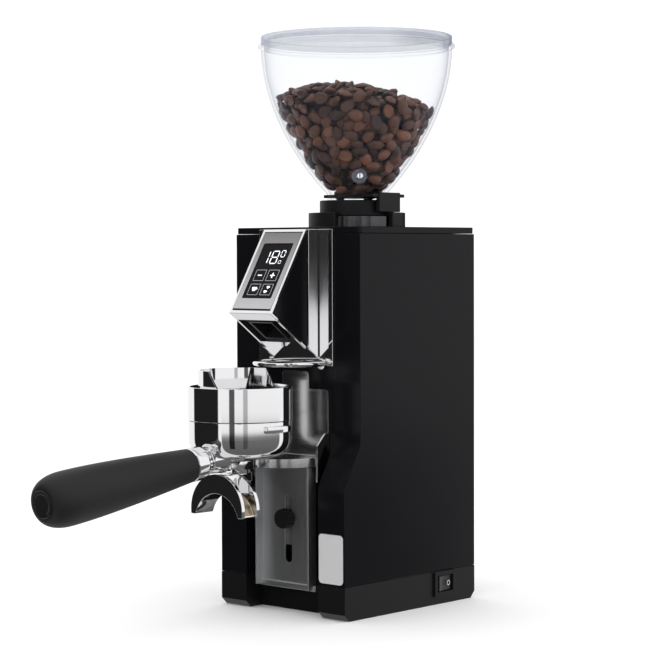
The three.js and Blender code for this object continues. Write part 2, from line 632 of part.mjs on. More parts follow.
function upperBurrCarrier() {
  const radius = chamberBore - RUN;
  return turned([[THROAT.foot, carrierFoot], [radius, carrierFoot], [radius, carrierTop],
    [THROAT.radius, carrierTop]], 0, axisY);
}

function lowerBurrCarrier() {
  const bore = SHAFT.radius + GAP;
  const rim = BURR.radius + LOWER_CARRIER.rim;
  let carrier = ring(rim, bore, lowerCarrierFoot, lowerCarrierTop, 0, axisY, SIDES.medium);
  const { bladeFrom, bladeHalf, bladeDrop } = LOWER_CARRIER;
  const reach = chamberBore - RUN;
  for (const [x0, x1] of [[-reach, -bladeFrom], [bladeFrom, reach]]) {
    carrier = carrier.add(block(x0, x1, axisY - bladeHalf, axisY + bladeHalf,
      lowerCarrierFoot, lowerCarrierTop - bladeDrop));
  }
  return carrier;
}

add('grinding_chamber', grindingChamber(), 'aluminium');
add('upper_burr_carrier', upperBurrCarrier(), 'aluminium');
add('upper_burr', burrRing(upperBurrFoot, false), 'steel');
add('lower_burr', burrRing(lowerBurrFoot, true), 'steel');
add('lower_burr_carrier', lowerBurrCarrier(), 'aluminium');

// ---- Motor -----------------------------------------------------------------------------------

// One end bell: a cup with a hub that holds a bearing. The open side faces the stator.
function endBell(open, closed) {
  const away = Math.sign(closed - open);
  const plate = closed - away * STATOR.bellWall;
  const seat = closed - away * (STATOR.bellWall + BEARING.width);
  const hub = BEARING.radius + GAP;
  const hubOuter = hub + BEARING.seatWall;
  const bore = SHAFT.radius + SHAFT.passage;
  const inner = motorRadius - STATOR.bellWall;
  return turned([[bore, closed], [motorRadius, closed], [motorRadius, open], [inner, open], [inner, plate],
    [hubOuter, plate], [hubOuter, seat], [hub, seat], [hub, plate], [bore, plate]], 0, axisY, SIDES.medium);
}

function bearingAt(low) {
  return ring(BEARING.radius, SHAFT.radius + SHAFT.fit, low, low + BEARING.width - GAP, 0, axisY, SIDES.small);
}

function coolingFan() {
  const fanFoot = fanTop - FAN.height;
  const radius = Math.min(FAN.radius, motorRadius - FAN.edge);
  const reach = radius - FAN.hub;
  let fan = disc(FAN.hub, fanFoot, fanTop, 0, axisY, SIDES.small)
    .add(disc(radius, fanTop - FAN.plate, fanTop, 0, axisY));
  for (let i = 0; i < FAN.blades; i += 1) {
    const blade = new THREE.BoxGeometry(reach, FAN.blade, FAN.height)
      .translate(FAN.hub - OVER + reach / 2, 0, 0)
      .rotateZ((2 * Math.PI * i) / FAN.blades);
    fan = fan.add(moved(blade, 0, axisY, fanFoot + FAN.height / 2));
  }
  return fan.subtract(disc(SHAFT.radius + SHAFT.fit, fanFoot - OVER, fanTop + OVER, 0, axisY, SIDES.small));
}

const topSeat = topBellTop - STATOR.bellWall - BEARING.width;
const bottomSeat = bottomBellFoot + STATOR.bellWall;
const shaft = disc(SHAFT.radius, shaftFoot, lowerBurrFoot + SHAFT.head, 0, axisY, SIDES.small);
const rotor = ring(ROTOR.radius, SHAFT.radius + GAP, statorFoot + ROTOR.inset, statorTop - ROTOR.inset,
  0, axisY);
const stator = ring(motorRadius, ROTOR.radius + RUN, statorFoot, statorTop, 0, axisY, SIDES.medium);
add('motor_shaft', shaft, 'steel');
add('motor_rotor', rotor, 'steel');
add('motor_stator', stator, 'copper');
add('motor_top_bell', endBell(statorTop + GAP, topBellTop), 'aluminium');
add('motor_bottom_bell', endBell(bottomBellTop, bottomBellFoot), 'aluminium');
add('upper_bearing', bearingAt(topSeat), 'steel');
add('lower_bearing', bearingAt(bottomSeat + GAP), 'steel');
add('cooling_fan', coolingFan(), 'blackPlastic');

// ---- Electrics -------------------------------------------------------------------------------

function controlBoard() {
  const near = innerRear - BOARD.wallGap;
  const seat = near + OVER;
  const half = BOARD.width / 2;
  const { bottom } = BOARD;
  const top = bottom + BOARD.height;
  const can = BOARD_CAPACITOR;
  return block(-half, half, near, near + BOARD.thick, bottom, top)
    .add(block(-half + RELAY.left, -half + RELAY.right, seat, near + RELAY.reach,
      bottom + RELAY.low, bottom + RELAY.high))
    .add(block(half - HEAT_SINK.left, half - HEAT_SINK.right, seat, near + HEAT_SINK.reach,
      bottom + HEAT_SINK.low, top - HEAT_SINK.topGap))
    .add(barY(can.radius, seat, near + can.reach, half - can.right, bottom + can.up));
}

function powerSupply() {
  const floor = TRAY.floor + GAP;
  const half = SUPPLY.width / 2;
  const seat = floor + OVER;
  const top = floor + SUPPLY.height;
  const can = SUPPLY_CAPACITOR;
  return block(-half, half, -SUPPLY.depth / 2, SUPPLY.depth / 2, floor, floor + SUPPLY.plate)
    .add(block(-half + TRANSFORMER.left, half - TRANSFORMER.right, -TRANSFORMER.front, TRANSFORMER.rear,
      seat, top))
    .add(disc(can.radius, seat, top - can.drop, half - can.right, can.rear, SIDES.small));
}

add('run_capacitor', disc(CAPACITOR.radius, CAPACITOR.bottom, CAPACITOR.bottom + CAPACITOR.height,
  capacitorX, capacitorY, SIDES.medium), 'silver');
add('control_board', controlBoard(), 'board');
add('power_supply', powerSupply(), 'board');

// ---- Beak with its display -------------------------------------------------------------------

function neckBracket() {
  const half = NECK.width / 2;
  const plateFoot = neckFoot - NECK.plateBottom;
  const root = neckFront + NECK.plate / 2;
  const mouth = beakRear + GAP;
  const plateHalf = NECK.plateWidth / 2;
  const plate = block(-plateHalf, plateHalf, neckFront, CASE.front - GAP, plateFoot, beakTop);
  const outline = [[root, beakTop], [mouth, beakTop], [mouth, undersideAt(beakRear)],
    [root, undersideAt(neckFront)]];
  const sides = (x) => across(outline, x, x + NECK.wall);
  const roof = block(-half, half, mouth, root, beakTop - NECK.wall, beakTop);
  const ductHalf = DUCT.width / 2 + NECK.windowMargin;
  const window = block(-ductHalf, ductHalf, neckFront - OVER, CASE.front, chamberFloor - NECK.windowMargin,
    chamberFloor + DUCT.height + 2 * DUCT.wall);
  return plate.add(sides(-half)).add(sides(half - NECK.wall)).add(roof).subtract(window);
}

function beakShell() {
  const half = BEAK.width / 2 - BEAK.panel - GAP;
  const [footY, footZ] = faceFoot;
  const outer = [[beakRear, beakTop], [footY, footZ], [beakRear, undersideAt(beakRear)]];
  const solid = across(outer, -half, half);
  const inner = half - BEAK.wall;
  const chinY = footY + BEAK.chin;
  const { faceClear, lip } = BEAK;
  const roof = beakTop - BEAK.wall;
  const hollow = across([[beakRear + OVER, roof], [beakRear - faceClear, roof],
    [footY - faceClear, footZ + lip], [footY + lip, footZ + lip],
    [chinY, undersideAt(chinY) + BEAK.chinWall], [chinY, 0], [beakRear + OVER, 0]], -inner, inner);
  return solid.subtract(hollow);
}

function cheekPanel(side) {
  const inner = BEAK.width / 2 - BEAK.panel;
  const [footY, footZ] = faceFoot;
  const outline = [[beakRear, beakTop - CHEEK.topDrop], [footY + CHEEK.tipBack, footZ + CHEEK.tipRise],
    [beakRear, undersideAt(beakRear) + CHEEK.footRise]];
  const x0 = side > 0 ? inner : -inner - BEAK.panel;
  return across(outline, x0, x0 + BEAK.panel);
}

// Pieces on the display face are drawn flat: X across, Y up the face, Z out of it.
const face = new THREE.Group();
face.position.set(0, beakRear, beakTop);
face.rotation.x = faceAngle;
grinder.add(face);

const bezelHalf = BEAK.width / 2 - BEAK.panel - GAP - BEAK.wall - GAP;
const windowHalf = BEZEL.windowWidth / 2;
const windowFoot = -BEZEL.windowTop - BEZEL.windowLength;
const bezelFoot = -faceLength + BEAK.wall * 2;
const bezelPlate = roundedShape(-bezelHalf, bezelHalf, bezelFoot, -BEAK.wall - BEZEL.margin, BEZEL.corner);
const windowShape = roundedShape(-windowHalf, windowHalf, windowFoot, -BEZEL.windowTop, BEZEL.windowCorner);
const bezelWindow = raised(windowShape, -BEZEL.thick - OVER, OVER, 3);
const glassHalf = windowHalf - GAP;
const glassPlate = roundedShape(-glassHalf, glassHalf, windowFoot + GAP, -BEZEL.windowTop - GAP, GLASS.corner);
const glassFoot = -GLASS.backing - GLASS.thick;

const chuteRoot = innerFront - GAP;
const chuteRoof = chamberFloor + DUCT.height + CHUTE.headroom;
const chuteFront = faceFoot[0] + BEAK.chin + CHUTE.lipBack;
const chuteBack = beakRear - CHUTE.mouthDrop;
const chuteUpper = [[chuteRoot, chuteRoof], [beakRear - CHUTE.bendBack, chuteRoof],
  [chuteFront, undersideAt(chuteFront) + CHUTE.lift]];
const chuteLower = [[chuteRoot, chamberFloor], [beakRear + CHUTE.bendFront, chamberFloor - CHUTE.headroom],
  [chuteBack, undersideAt(chuteBack) + CHUTE.lift]];

function extended(line, reach) {
  const [a, b] = [line[line.length - 2], line[line.length - 1]];
  const length = Math.hypot(b[0] - a[0], b[1] - a[1]);
  const end = [b[0] + ((b[0] - a[0]) * reach) / length, b[1] + ((b[1] - a[1]) * reach) / length];
  return [...line.slice(0, -1), end];
}

function outletChute() {
  const half = DUCT.width / 2;
  const outer = across([...chuteUpper, ...[...chuteLower].reverse()], -half, half);
  const past = 3 * CHUTE.wall;
  const upper = extended(offsetLine(chuteUpper, CHUTE.wall), past);
  const lower = extended(offsetLine(chuteLower, -CHUTE.wall), past);
  upper[0][0] += OVER;
  lower[0][0] += OVER;
  const inner = across([...upper, ...lower.reverse()], -half + CHUTE.wall, half - CHUTE.wall);
  return outer.subtract(inner);
}

// A plate that closes the beak's underside round the chute.
function outletPlate() {
  const half = BEAK.width / 2 - BEAK.panel - GAP - BEAK.wall - GAP;
  const front = faceFoot[0] + BEAK.chin + GAP;
  const rear = beakRear - GAP;
  const low = CHUTE.insertDepth;
  const high = low + CHUTE.plate;
  const plate = across([[front, undersideAt(front) + low], [rear, undersideAt(rear) + low],
    [rear, undersideAt(rear) + high], [front, undersideAt(front) + high]], -half, half);
  const chuteHalf = DUCT.width / 2 + GAP;
  const room = [...offsetLine(chuteUpper, -GAP), ...offsetLine(chuteLower, GAP).reverse()];
  const chuteRoom = across(room, -chuteHalf, chuteHalf);
  return plate.subtract(chuteRoom);
}

add('neck_bracket', neckBracket(), 'chrome');
add('beak_shell', beakShell(), 'chrome');
add('beak_cheek_left', cheekPanel(-1), 'blackPaint');
add('beak_cheek_right', cheekPanel(1), 'blackPaint');
add('display_bezel', raised(bezelPlate, -BEZEL.thick, 0, 2).subtract(bezelWindow), 'brushed', face);
add('display_glass', raised(glassPlate, glassFoot, -GLASS.backing, 3), 'glass', face);
const displayHalf = glassHalf + DISPLAY.wider;
const displayFace = -BEZEL.thick - GAP;
const displayBoard = block(-displayHalf, displayHalf, windowFoot + DISPLAY.shorter,
  -BEZEL.windowTop - DISPLAY.shorter, displayFace - DISPLAY.thick, displayFace);
add('display_board', displayBoard, 'board', face);
add('outlet_chute', outletChute(), 'blackPlastic');
add('outlet_plate', outletPlate(), 'blackPlastic');

// ---- Wire bail -------------------------------------------------------------------------------

function bail() {
  const foot = neckFront - GAP;
  const corner = foot - BAIL.straight;
  const points = [new THREE.Vector3(BAIL.reach, foot, bailZ)];
  for (let i = 0; i <= BAIL.steps; i += 1) {
    const angle = (-Math.PI * i) / BAIL.steps;
    points.push(new THREE.Vector3(BAIL.reach * Math.cos(angle), corner + BAIL.reach * Math.sin(angle), bailZ));
  }
  points.push(new THREE.Vector3(-BAIL.reach, foot, bailZ));
  const path = new THREE.CurvePath();
  for (let i = 1; i < points.length; i += 1) path.add(new THREE.LineCurve3(points[i - 1], points[i]));
  const section = new THREE.Shape();
  section.absarc(0, 0, BAIL.radius, 0, 2 * Math.PI);
  const wire = new THREE.ExtrudeGeometry(section, { steps: 22, extrudePath: path, curveSegments: 4 });
  let solid = solidOf(wire);
  for (const side of [-1, 1]) {
    solid = solid.add(barY(BAIL.ferrule, foot - BAIL.ferruleLength, foot, side * BAIL.reach, bailZ));
  }
  return solid;
}

add('bail', bail(), 'chrome');

// ---- Portafilter and dosing funnel -----------------------------------------------------------

// The handle's pieces are turned about +Z, then laid along the drooping handle axis.
const handleStart = filterY - PORTAFILTER.bowl + HANDLE.root;
const handleLow = bowlTop - HANDLE.drop;
const handle = new THREE.Group();
handle.position.set(0, handleStart, handleLow);
handle.rotation.x = Math.PI / 2 + (HANDLE.droop * Math.PI) / 180;
grinder.add(handle);
handle.updateMatrixWorld();

function alongHandle(geometry) {
  return solidOf(geometry.applyMatrix4(handle.matrixWorld));
}

function bowlProfile() {
  const outer = [[0, bowlFoot], ...PORTAFILTER.base.map(([r, z]) => [r, bowlFoot + z])];
  const [bendFrom, rise] = PORTAFILTER.base[PORTAFILTER.base.length - 1];
  const bendHeight = PORTAFILTER.depth - PORTAFILTER.sideHeight;
  const reach = PORTAFILTER.bowl - bendFrom;
  for (let i = 1; i <= PORTAFILTER.bendSteps; i += 1) {
    const angle = (Math.PI / 2) * (1 - i / PORTAFILTER.bendSteps);
    outer.push([bendFrom + reach * Math.cos(angle), bowlFoot + rise + bendHeight * (1 - Math.sin(angle))]);
  }
  outer.push([PORTAFILTER.bowl, bowlTop]);
  return outer;
}

function portafilterBody() {
  const outer = bowlProfile();
  const inner = offsetLine(outer, PORTAFILTER.wall);
  inner[0][0] = 0;
  const cavity = turned([[0, bowlTop + OVER], ...inner], 0, filterY);
  const cup = turned([...outer, ...inner.reverse()], 0, filterY);
  const { bowl, lugReach, lugHeight, lugDrop, lugHalf, lugRoot } = PORTAFILTER;
  const lugTop = bowlTop - lugDrop;
  const lugFoot = lugTop - lugHeight;
  const ringSpace = disc(bowl - lugRoot, bowlFoot - OVER, bowlTop + OVER, 0, filterY);
  const lugDisc = disc(bowl + lugReach, lugFoot, lugTop, 0, filterY);
  const lugBand = block(-FAR, FAR, filterY - lugHalf, filterY + lugHalf, lugFoot - OVER, lugTop + OVER);
  const lugs = lugDisc.intersect(lugBand).subtract(ringSpace);
  const boss = alongHandle(
    new THREE.CylinderGeometry(HANDLE.boss, HANDLE.bossRoot, HANDLE.bossLength, SIDES.medium)
      .rotateX(-Math.PI / 2)
      .translate(0, 0, -HANDLE.bossLength / 2));
  return cup.add(lugs).add(boss.subtract(cavity));
}

function filterBasket() {
  const rimFoot = bowlTop + GAP;
  const { radius, wall, bend, bendInside } = BASKET;
  const foot = bowlTop - BASKET.depth;
  const rimTop = rimFoot + wall;
  return turned([[0, foot], [radius - bend, foot], [radius, foot + bend], [radius, rimFoot],
    [basketRim, rimFoot], [basketRim, rimTop], [radius - wall, rimTop], [radius - wall, foot + bendInside],
    [radius - bendInside, foot + wall], [0, foot + wall]], 0, filterY, SIDES.medium);
}

function dosingFunnel() {
  const recess = basketRim + RUN;
  const recessTop = bowlTop + GAP + BASKET.wall + GAP;
  const coneFoot = funnelTop - FUNNEL.cone;
  const body = turned([[recess, funnelFoot], [funnelRadius, funnelFoot], [funnelRadius, funnelTop],
    [funnelRadius - FUNNEL.lip, funnelTop], [FUNNEL.bore, coneFoot], [FUNNEL.bore, recessTop],
    [recess, recessTop]], 0, filterY);
  const wallFoot = coneFoot - FUNNEL.shieldRoot;
  const wall = ring(FUNNEL.bore + FUNNEL.shieldWall / 2, FUNNEL.bore - FUNNEL.shieldWall / 2,
    wallFoot, shieldTop, 0, filterY);
  const { openFrom, openSlant } = FUNNEL;
  const cut = [[openFrom, shieldTop + OVER], [FAR, shieldTop + OVER], [FAR, wallFoot - OVER],
    [openFrom + openSlant, wallFoot - OVER]];
  return body.add(wall.subtract(facing(outlineShape(cut), filterY - FAR, filterY + FAR)));
}

function turnedRod(points, sides) {
  const profile = points.map(([r, t]) => new THREE.Vector2(r, t));
  return new THREE.LatheGeometry(profile, sides).rotateX(Math.PI / 2);
}

const gripFoot = HANDLE.ferrule + GAP;
const gripOutline = HANDLE.outline.map(([r, t]) => [r, t + gripFoot]);
const gripEnd = gripOutline[gripOutline.length - 1][1];
const capSeat = gripEnd - HANDLE.capSeat;

function handleFerrule() {
  const { ferrule: length, ferruleRadius: radius, ferruleNeck: step } = HANDLE;
  const neck = radius - step;
  const profile = [[0, GAP], [neck, GAP], [neck, 0.34 * length], [radius - step / 4, 0.44 * length],
    [radius, 0.6 * length], [radius, 0.9 * length], [radius - step / 3, length], [0, length]];
  return solidOf(turnedRod(profile, SIDES.medium));
}

function handleGrip() {
  const seat = HANDLE.cap + GAP;
  const profile = [[0, gripFoot], ...gripOutline, [seat, gripEnd], [seat, capSeat], [0, capSeat]];
  return solidOf(turnedRod(profile, SIDES.medium));
}

function handleCap() {
  const foot = capSeat + GAP;
  const top = foot + HANDLE.capThick;
  const profile = [[0, foot], [HANDLE.cap, foot], [HANDLE.cap, top - HANDLE.capEdge],
    [HANDLE.cap - HANDLE.capChamfer, top], [0, top]];
  return solidOf(turnedRod(profile, SIDES.medium));
}

function doubleSpout() {
  const nutTop = bowlFoot - GAP;
  const nutFoot = nutTop - SPOUT.nutHeight;
  const top = nutFoot - SPOUT.neck;
  const outerZ = top - SPOUT.outer;
  const innerZ = outerZ - SPOUT.rise;
  const middle = filterY - SPOUT.forward;
  const [y0, y1] = [middle - SPOUT.width / 2, middle + SPOUT.width / 2];
  const tipZ = outerZ - SPOUT.tip;
  const arch = barY(SPOUT.outer, y0, y1, 0, outerZ, SIDES.large)
    .subtract(barY(SPOUT.inner, y0 - OVER, y1 + OVER, 0, innerZ, SIDES.large))
    .subtract(block(-FAR, FAR, y0 - OVER, y1 + OVER, tipZ - FAR, tipZ));
  const [c0, c1] = [middle - SPOUT.channel / 2, middle + SPOUT.channel / 2];
  const channel = barY(SPOUT.outer + SPOUT.floor, c0, c1, 0, outerZ, SIDES.large)
    .subtract(barY(SPOUT.inner + SPOUT.floor, c0 - OVER, c1 + OVER, 0, innerZ + OVER, SIDES.large))
    .subtract(block(-SPOUT.divide, SPOUT.divide, c0 - OVER, c1 + OVER, outerZ, top + FAR));
  const bridge = block(-SPOUT.bridgeHalf, SPOUT.bridgeHalf, middle, filterY + SPOUT.bridgeBack,
    top - SPOUT.bridgeDrop, top + SPOUT.bridgeRise);
  const stem = disc(SPOUT.stem, top - OVER, nutTop, 0, filterY, SIDES.small);
  const nut = disc(SPOUT.nut, nutFoot, nutTop, 0, filterY, 6);
  return arch.subtract(channel).add(bridge).add(stem).add(nut);
}

add('portafilter_body', portafilterBody(), 'chrome');
add('filter_basket', filterBasket(), 'stainless');
add('dosing_funnel', dosingFunnel(), 'chrome');
add('double_spout', doubleSpout(), 'chrome');
add('handle_ferrule', handleFerrule(), 'chrome', handle);
add('handle_grip', handleGrip(), 'grip', handle);
add('handle_cap', handleCap(), 'blackPlastic', handle);

// ---- Weighing fork ---------------------------------------------------------------------------

function forkCradle() {
  const half = CRADLE.width / 2;
  const tabHalf = CRADLE.tabWidth / 2;
  const plateTop = tongueTop + CRADLE.plateHeight;
  const plateShape = roundedShape(-half, half, tongueTop - OVER, plateTop, CRADLE.corner);
  const tabShape = roundedShape(-tabHalf, tabHalf, plateTop - CRADLE.tabRoot, plateTop + CRADLE.tabHeight,
    CRADLE.corner);
  const cheekFront = plateFront - CRADLE.cheekFront;
  const cheekFoot = tongueTop - CRADLE.cheekDrop;
  const cheekTop = tongueTop + CRADLE.cheekRise;
  const cheekHigh = cheekTop + CRADLE.cheekRise;
  const cheek = [[cheekFront, cheekFoot], [cheekFront, cheekTop], [plateFront - CRADLE.cheekStep, cheekHigh],
    [plateRear, cheekHigh], [plateRear, cheekFoot]];
  const lipFoot = tongueTop - CRADLE.lip;
  let cradle = facing(plateShape, plateFront, plateRear)
    .add(facing(tabShape, plateFront, plateRear))
    .add(raised(tongueShape(0), lipFoot, tongueTop, 16))
    .subtract(raised(tongueShape(CRADLE.lipWall), lipFoot - OVER, tongueTop - CRADLE.sheet, 16));
  for (const x of [-half, half - CRADLE.sheet]) cradle = cradle.add(across(cheek, x, x + CRADLE.sheet));
  return cradle;
}

// The shelf's plan: a straight back and a round front, drawn in by an inset.
function tongueShape(inset) {
  const half = CRADLE.width / 2 - inset;
  const front = plateFront - CRADLE.cheekFront;
  const radius = CRADLE.tongue - inset;
  const shape = new THREE.Shape();
  shape.moveTo(-half, plateRear - inset / 2);
  shape.lineTo(-half, front);
  shape.lineTo(-radius, front);
  shape.absarc(0, front, radius, Math.PI, 2 * Math.PI);
  shape.lineTo(half, front);
  shape.lineTo(half, plateRear - inset / 2);
  return shape;
}

function forkSlide() {
  const half = SLIDE.width / 2;
  const sideFoot = SLIDE.bottom + OVER;
  const web = block(-half, half, slideFront, slideRear, sideFoot, slideTop);
  const reach = slideFront - SLIDE.flangeReach;
  const lipHalf = SLIDE.lipWidth / 2;
  const lip = block(-lipHalf, lipHalf, slideFront - SLIDE.lipReach, slideRear,
    SLIDE.bottom, SLIDE.bottom + SLIDE.lipHeight);
  const slotHalf = SLOT.width / 2;
  const slot = roundedShape(-slotHalf, slotHalf, slideAt(SLOT.from), slideAt(SLOT.to), slotHalf - 0.01);
  let slide = web.add(lip).subtract(facing(slot, slideFront - SLIDE.lipReach - OVER, slideRear + OVER));
  for (const x of [-half, half - SLIDE.sheet]) {
    slide = slide.add(block(x, x + SLIDE.sheet, reach, slideRear, sideFoot, slideTop));
  }
  return slide;
}

function clampKnob() {
  const near = slideFront - GAP;
  const outline = toothedShape(KNOB.radius, KNOB.toothDepth, KNOB.teeth);
  const wheel = extruded(outline, KNOB.length).rotateX(Math.PI / 2);
  return moved(wheel, 0, near, studZ).add(barY(KNOB.stud, near - OVER, cellRear - KNOB.tail, 0, studZ));
}

function loadArm() {
  const [front, rear] = [slideRear + GAP, CASE.front - 2 * GAP];
  const half = ARM.width / 2;
  const plate = block(-half, half, front, rear, studZ - ARM.height / 2, studZ + ARM.height / 2);
  return plate.add(barY(ARM.boss, rear - OVER, cellFront - GAP, 0, studZ))
    .subtract(barY(KNOB.bore, front - OVER, cellFront + OVER, 0, studZ));
}

function loadCell() {
  const half = CELL.width / 2;
  const beam = block(-half, half, cellFront, cellRear, studZ - CELL.below, studZ + CELL.above);
  const relief = new THREE.CylinderGeometry(CELL.relief, CELL.relief, CELL.width + 2 * OVER, SIDES.small)
    .rotateZ(Math.PI / 2);
  return beam.subtract(barY(KNOB.bore, cellFront - OVER, cellRear + OVER, 0, studZ))
    .subtract(moved(relief, 0, (cellFront + cellRear) / 2, studZ + CELL.reliefRise));
}

function cellBracket() {
  const low = studZ + CELL.above - CELL_BRACKET.drop;
  return block(-CELL_BRACKET.half, CELL_BRACKET.half, innerFront + GAP, cellFront - GAP,
    low, low + CELL_BRACKET.height);
}

add('fork_cradle', forkCradle(), 'stainless');
add('fork_slide', forkSlide(), 'stainless');
add('clamp_knob', clampKnob(), 'blackPlastic');
add('load_arm', loadArm(), 'aluminium');
add('load_cell', loadCell(), 'aluminium');
add('load_cell_bracket', cellBracket(), 'steel');

export default grinder;
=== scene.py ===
import json
import math
import random

import bmesh
import bpy
from mathutils import Matrix, Vector
from mathutils.geometry import interpolate_bezier

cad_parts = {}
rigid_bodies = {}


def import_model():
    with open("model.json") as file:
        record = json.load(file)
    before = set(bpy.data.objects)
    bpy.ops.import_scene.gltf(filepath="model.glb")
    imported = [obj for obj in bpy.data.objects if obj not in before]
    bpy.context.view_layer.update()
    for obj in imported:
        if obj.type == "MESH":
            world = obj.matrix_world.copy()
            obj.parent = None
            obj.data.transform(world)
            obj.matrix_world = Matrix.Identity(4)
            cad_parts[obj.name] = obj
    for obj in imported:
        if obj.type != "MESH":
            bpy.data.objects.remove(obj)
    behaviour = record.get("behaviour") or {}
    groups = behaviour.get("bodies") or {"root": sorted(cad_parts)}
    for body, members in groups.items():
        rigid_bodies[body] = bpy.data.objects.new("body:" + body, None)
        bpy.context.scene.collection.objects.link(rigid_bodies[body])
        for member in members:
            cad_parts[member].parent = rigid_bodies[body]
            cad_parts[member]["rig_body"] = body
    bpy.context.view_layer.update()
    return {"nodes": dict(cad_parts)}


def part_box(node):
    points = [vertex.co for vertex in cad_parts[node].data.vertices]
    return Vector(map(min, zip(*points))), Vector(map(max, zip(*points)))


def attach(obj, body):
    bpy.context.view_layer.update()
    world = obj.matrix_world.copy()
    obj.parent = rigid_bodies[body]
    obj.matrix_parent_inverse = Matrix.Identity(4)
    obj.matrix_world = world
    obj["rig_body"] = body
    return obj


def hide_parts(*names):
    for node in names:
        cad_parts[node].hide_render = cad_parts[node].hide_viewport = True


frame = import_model()
mm = 0.001

# ---- Camera ----------------------------------------------------------------------------------
# It stands to the front right, a little below the grinder's middle, with a long lens, so that
# the upright edges stay parallel.
camera_azimuth = math.radians(41.74)
camera_heading = math.radians(42.247)
camera_tilt = math.radians(-2.135)
camera_roll = math.radians(-0.187)
camera_distance, camera_height = 1.5879, 0.2664
camera_lens = 113.69

lens = bpy.data.cameras.new("camera")
lens.lens = camera_lens
lens.sensor_width = 36
camera = bpy.data.objects.new("camera", lens)
bpy.context.scene.collection.objects.link(camera)
camera.matrix_world = (
    Matrix.Translation((math.sin(camera_azimuth) * camera_distance,
                        -math.cos(camera_azimuth) * camera_distance, camera_height))
    @ Matrix.Rotation(camera_heading, 4, "Z")
    @ Matrix.Rotation(math.pi / 2 + camera_tilt, 4, "X")
    @ Matrix.Rotation(camera_roll, 4, "Z"))
bpy.context.scene.camera = camera
bpy.context.scene.view_settings.view_transform = "Standard"


# ---- Studio ----------------------------------------------------------------------------------
# A white sweep and white air light the grinder evenly. A white tent round it, seen only by
# what shines, has black cloths hung in it, which give the chrome its dark stripes.
class Value:
    """A number or colour on its way through the nodes. Arithmetic on it adds Math nodes."""

    def __init__(self, finish, socket):
        self.finish, self.socket = finish, socket

    def math(self, operation, *others):
        inputs = dict(enumerate([self, *others]))
        return self.finish.node("ShaderNodeMath", {"operation": operation}, inputs)

    def flipped(self, operation, other):
        inputs = {0: other, 1: self}
        return self.finish.node("ShaderNodeMath", {"operation": operation}, inputs)

    def __add__(self, other):
        return self.math("ADD", other)

    def __radd__(self, other):
        return self.math("ADD", other)

    def __sub__(self, other):
        return self.math("SUBTRACT", other)

    def __rsub__(self, other):
        return self.flipped("SUBTRACT", other)

    def __mul__(self, other):
        return self.math("MULTIPLY", other)

    def __rmul__(self, other):
        return self.math("MULTIPLY", other)

    def __truediv__(self, other):
        return self.math("DIVIDE", other)

    def __pow__(self, other):
        return self.math("POWER", other)

    def clamped(self):
        return self.math("MINIMUM", 1.0).math("MAXIMUM", 0.0)


class Finish:
    """A material made of nodes."""

    def __init__(self, name, constants=None, shader="ShaderNodeBsdfPrincipled"):
        self.material = bpy.data.materials.new(name)
        self.material.use_nodes = True
        self.tree = self.material.node_tree
        self.tree.nodes.clear()
        self.output = self.tree.nodes.new("ShaderNodeOutputMaterial")
        self.shader = self.tree.nodes.new(shader)
        self.tree.links.new(self.shader.outputs[0], self.output.inputs["Surface"])
        self.set(self.shader, constants or {})

    def set(self, node, inputs):
        for socket, value in inputs.items():
            if isinstance(value, Value):
                self.tree.links.new(value.socket, node.inputs[socket])
            else:
                node.inputs[socket].default_value = value

    def node(self, kind, settings=None, inputs=None, out=0):
        node = self.tree.nodes.new(kind)
        for key, value in (settings or {}).items():
            if key == "stops":
                ramp = node.color_ramp
                ramp.elements[0].position, ramp.elements[0].color = value[0]
                ramp.elements[1].position, ramp.elements[1].color = value[-1]
                for position, colour in value[1:-1]:
                    ramp.elements.new(position).color = colour
            else:
                setattr(node, key, value)
        self.set(node, inputs or {})
        return Value(self, node.outputs[out])

    def place(self, scale=(1, 1, 1)):
        where = self.node("ShaderNodeTexCoord", out="Object")
        return self.node("ShaderNodeMapping", inputs={"Vector": where, "Scale": scale})

    def noise(self, scale, detail=2.0, stretch=(1, 1, 1)):
        inputs = {"Vector": self.place(stretch), "Scale": scale, "Detail": detail}
        return self.node("ShaderNodeTexNoise", inputs=inputs)

    def bump(self, height, depth, strength=1.0):
        inputs = {"Height": height, "Distance": depth, "Strength": strength}
        self.set(self.shader, {"Normal": self.node("ShaderNodeBump", inputs=inputs)})

    def vary(self, **inputs):
        self.set(self.shader, {key.replace("_", " "): value for key, value in inputs.items()})

    def between(self, mask, low, high):
        """A colour that goes from low to high as mask goes from 0 to 1."""
        settings = {"data_type": "RGBA"}
        inputs = {0: mask, 6: (*low, 1), 7: (*high, 1)}
        return self.node("ShaderNodeMix", settings, inputs, out=2)

    def tone(self, mask, low, high, roughness):
        self.vary(Base_Color=self.between(mask, low, high), Roughness=roughness)


def staged(name, bm, material):
    mesh = bpy.data.meshes.new(name)
    bm.to_mesh(mesh)
    bm.free()
    mesh.materials.append(material)
    thing = bpy.data.objects.new(name, mesh)
    bpy.context.scene.collection.objects.link(thing)
    return thing


sweep_paper = Finish("sweep_paper", {"Roughness": 0.9})
grain = sweep_paper.noise(900, 3)
sweep_paper.vary(Base_Color=sweep_paper.between(grain, (0.95, 0.95, 0.95), (0.98, 0.98, 0.98)))
bm = bmesh.new()
bmesh.ops.create_grid(bm, x_segments=2, y_segments=2, size=60.0)
sweep = staged("sweep", bm, sweep_paper.material)
sweep.visible_glossy = False

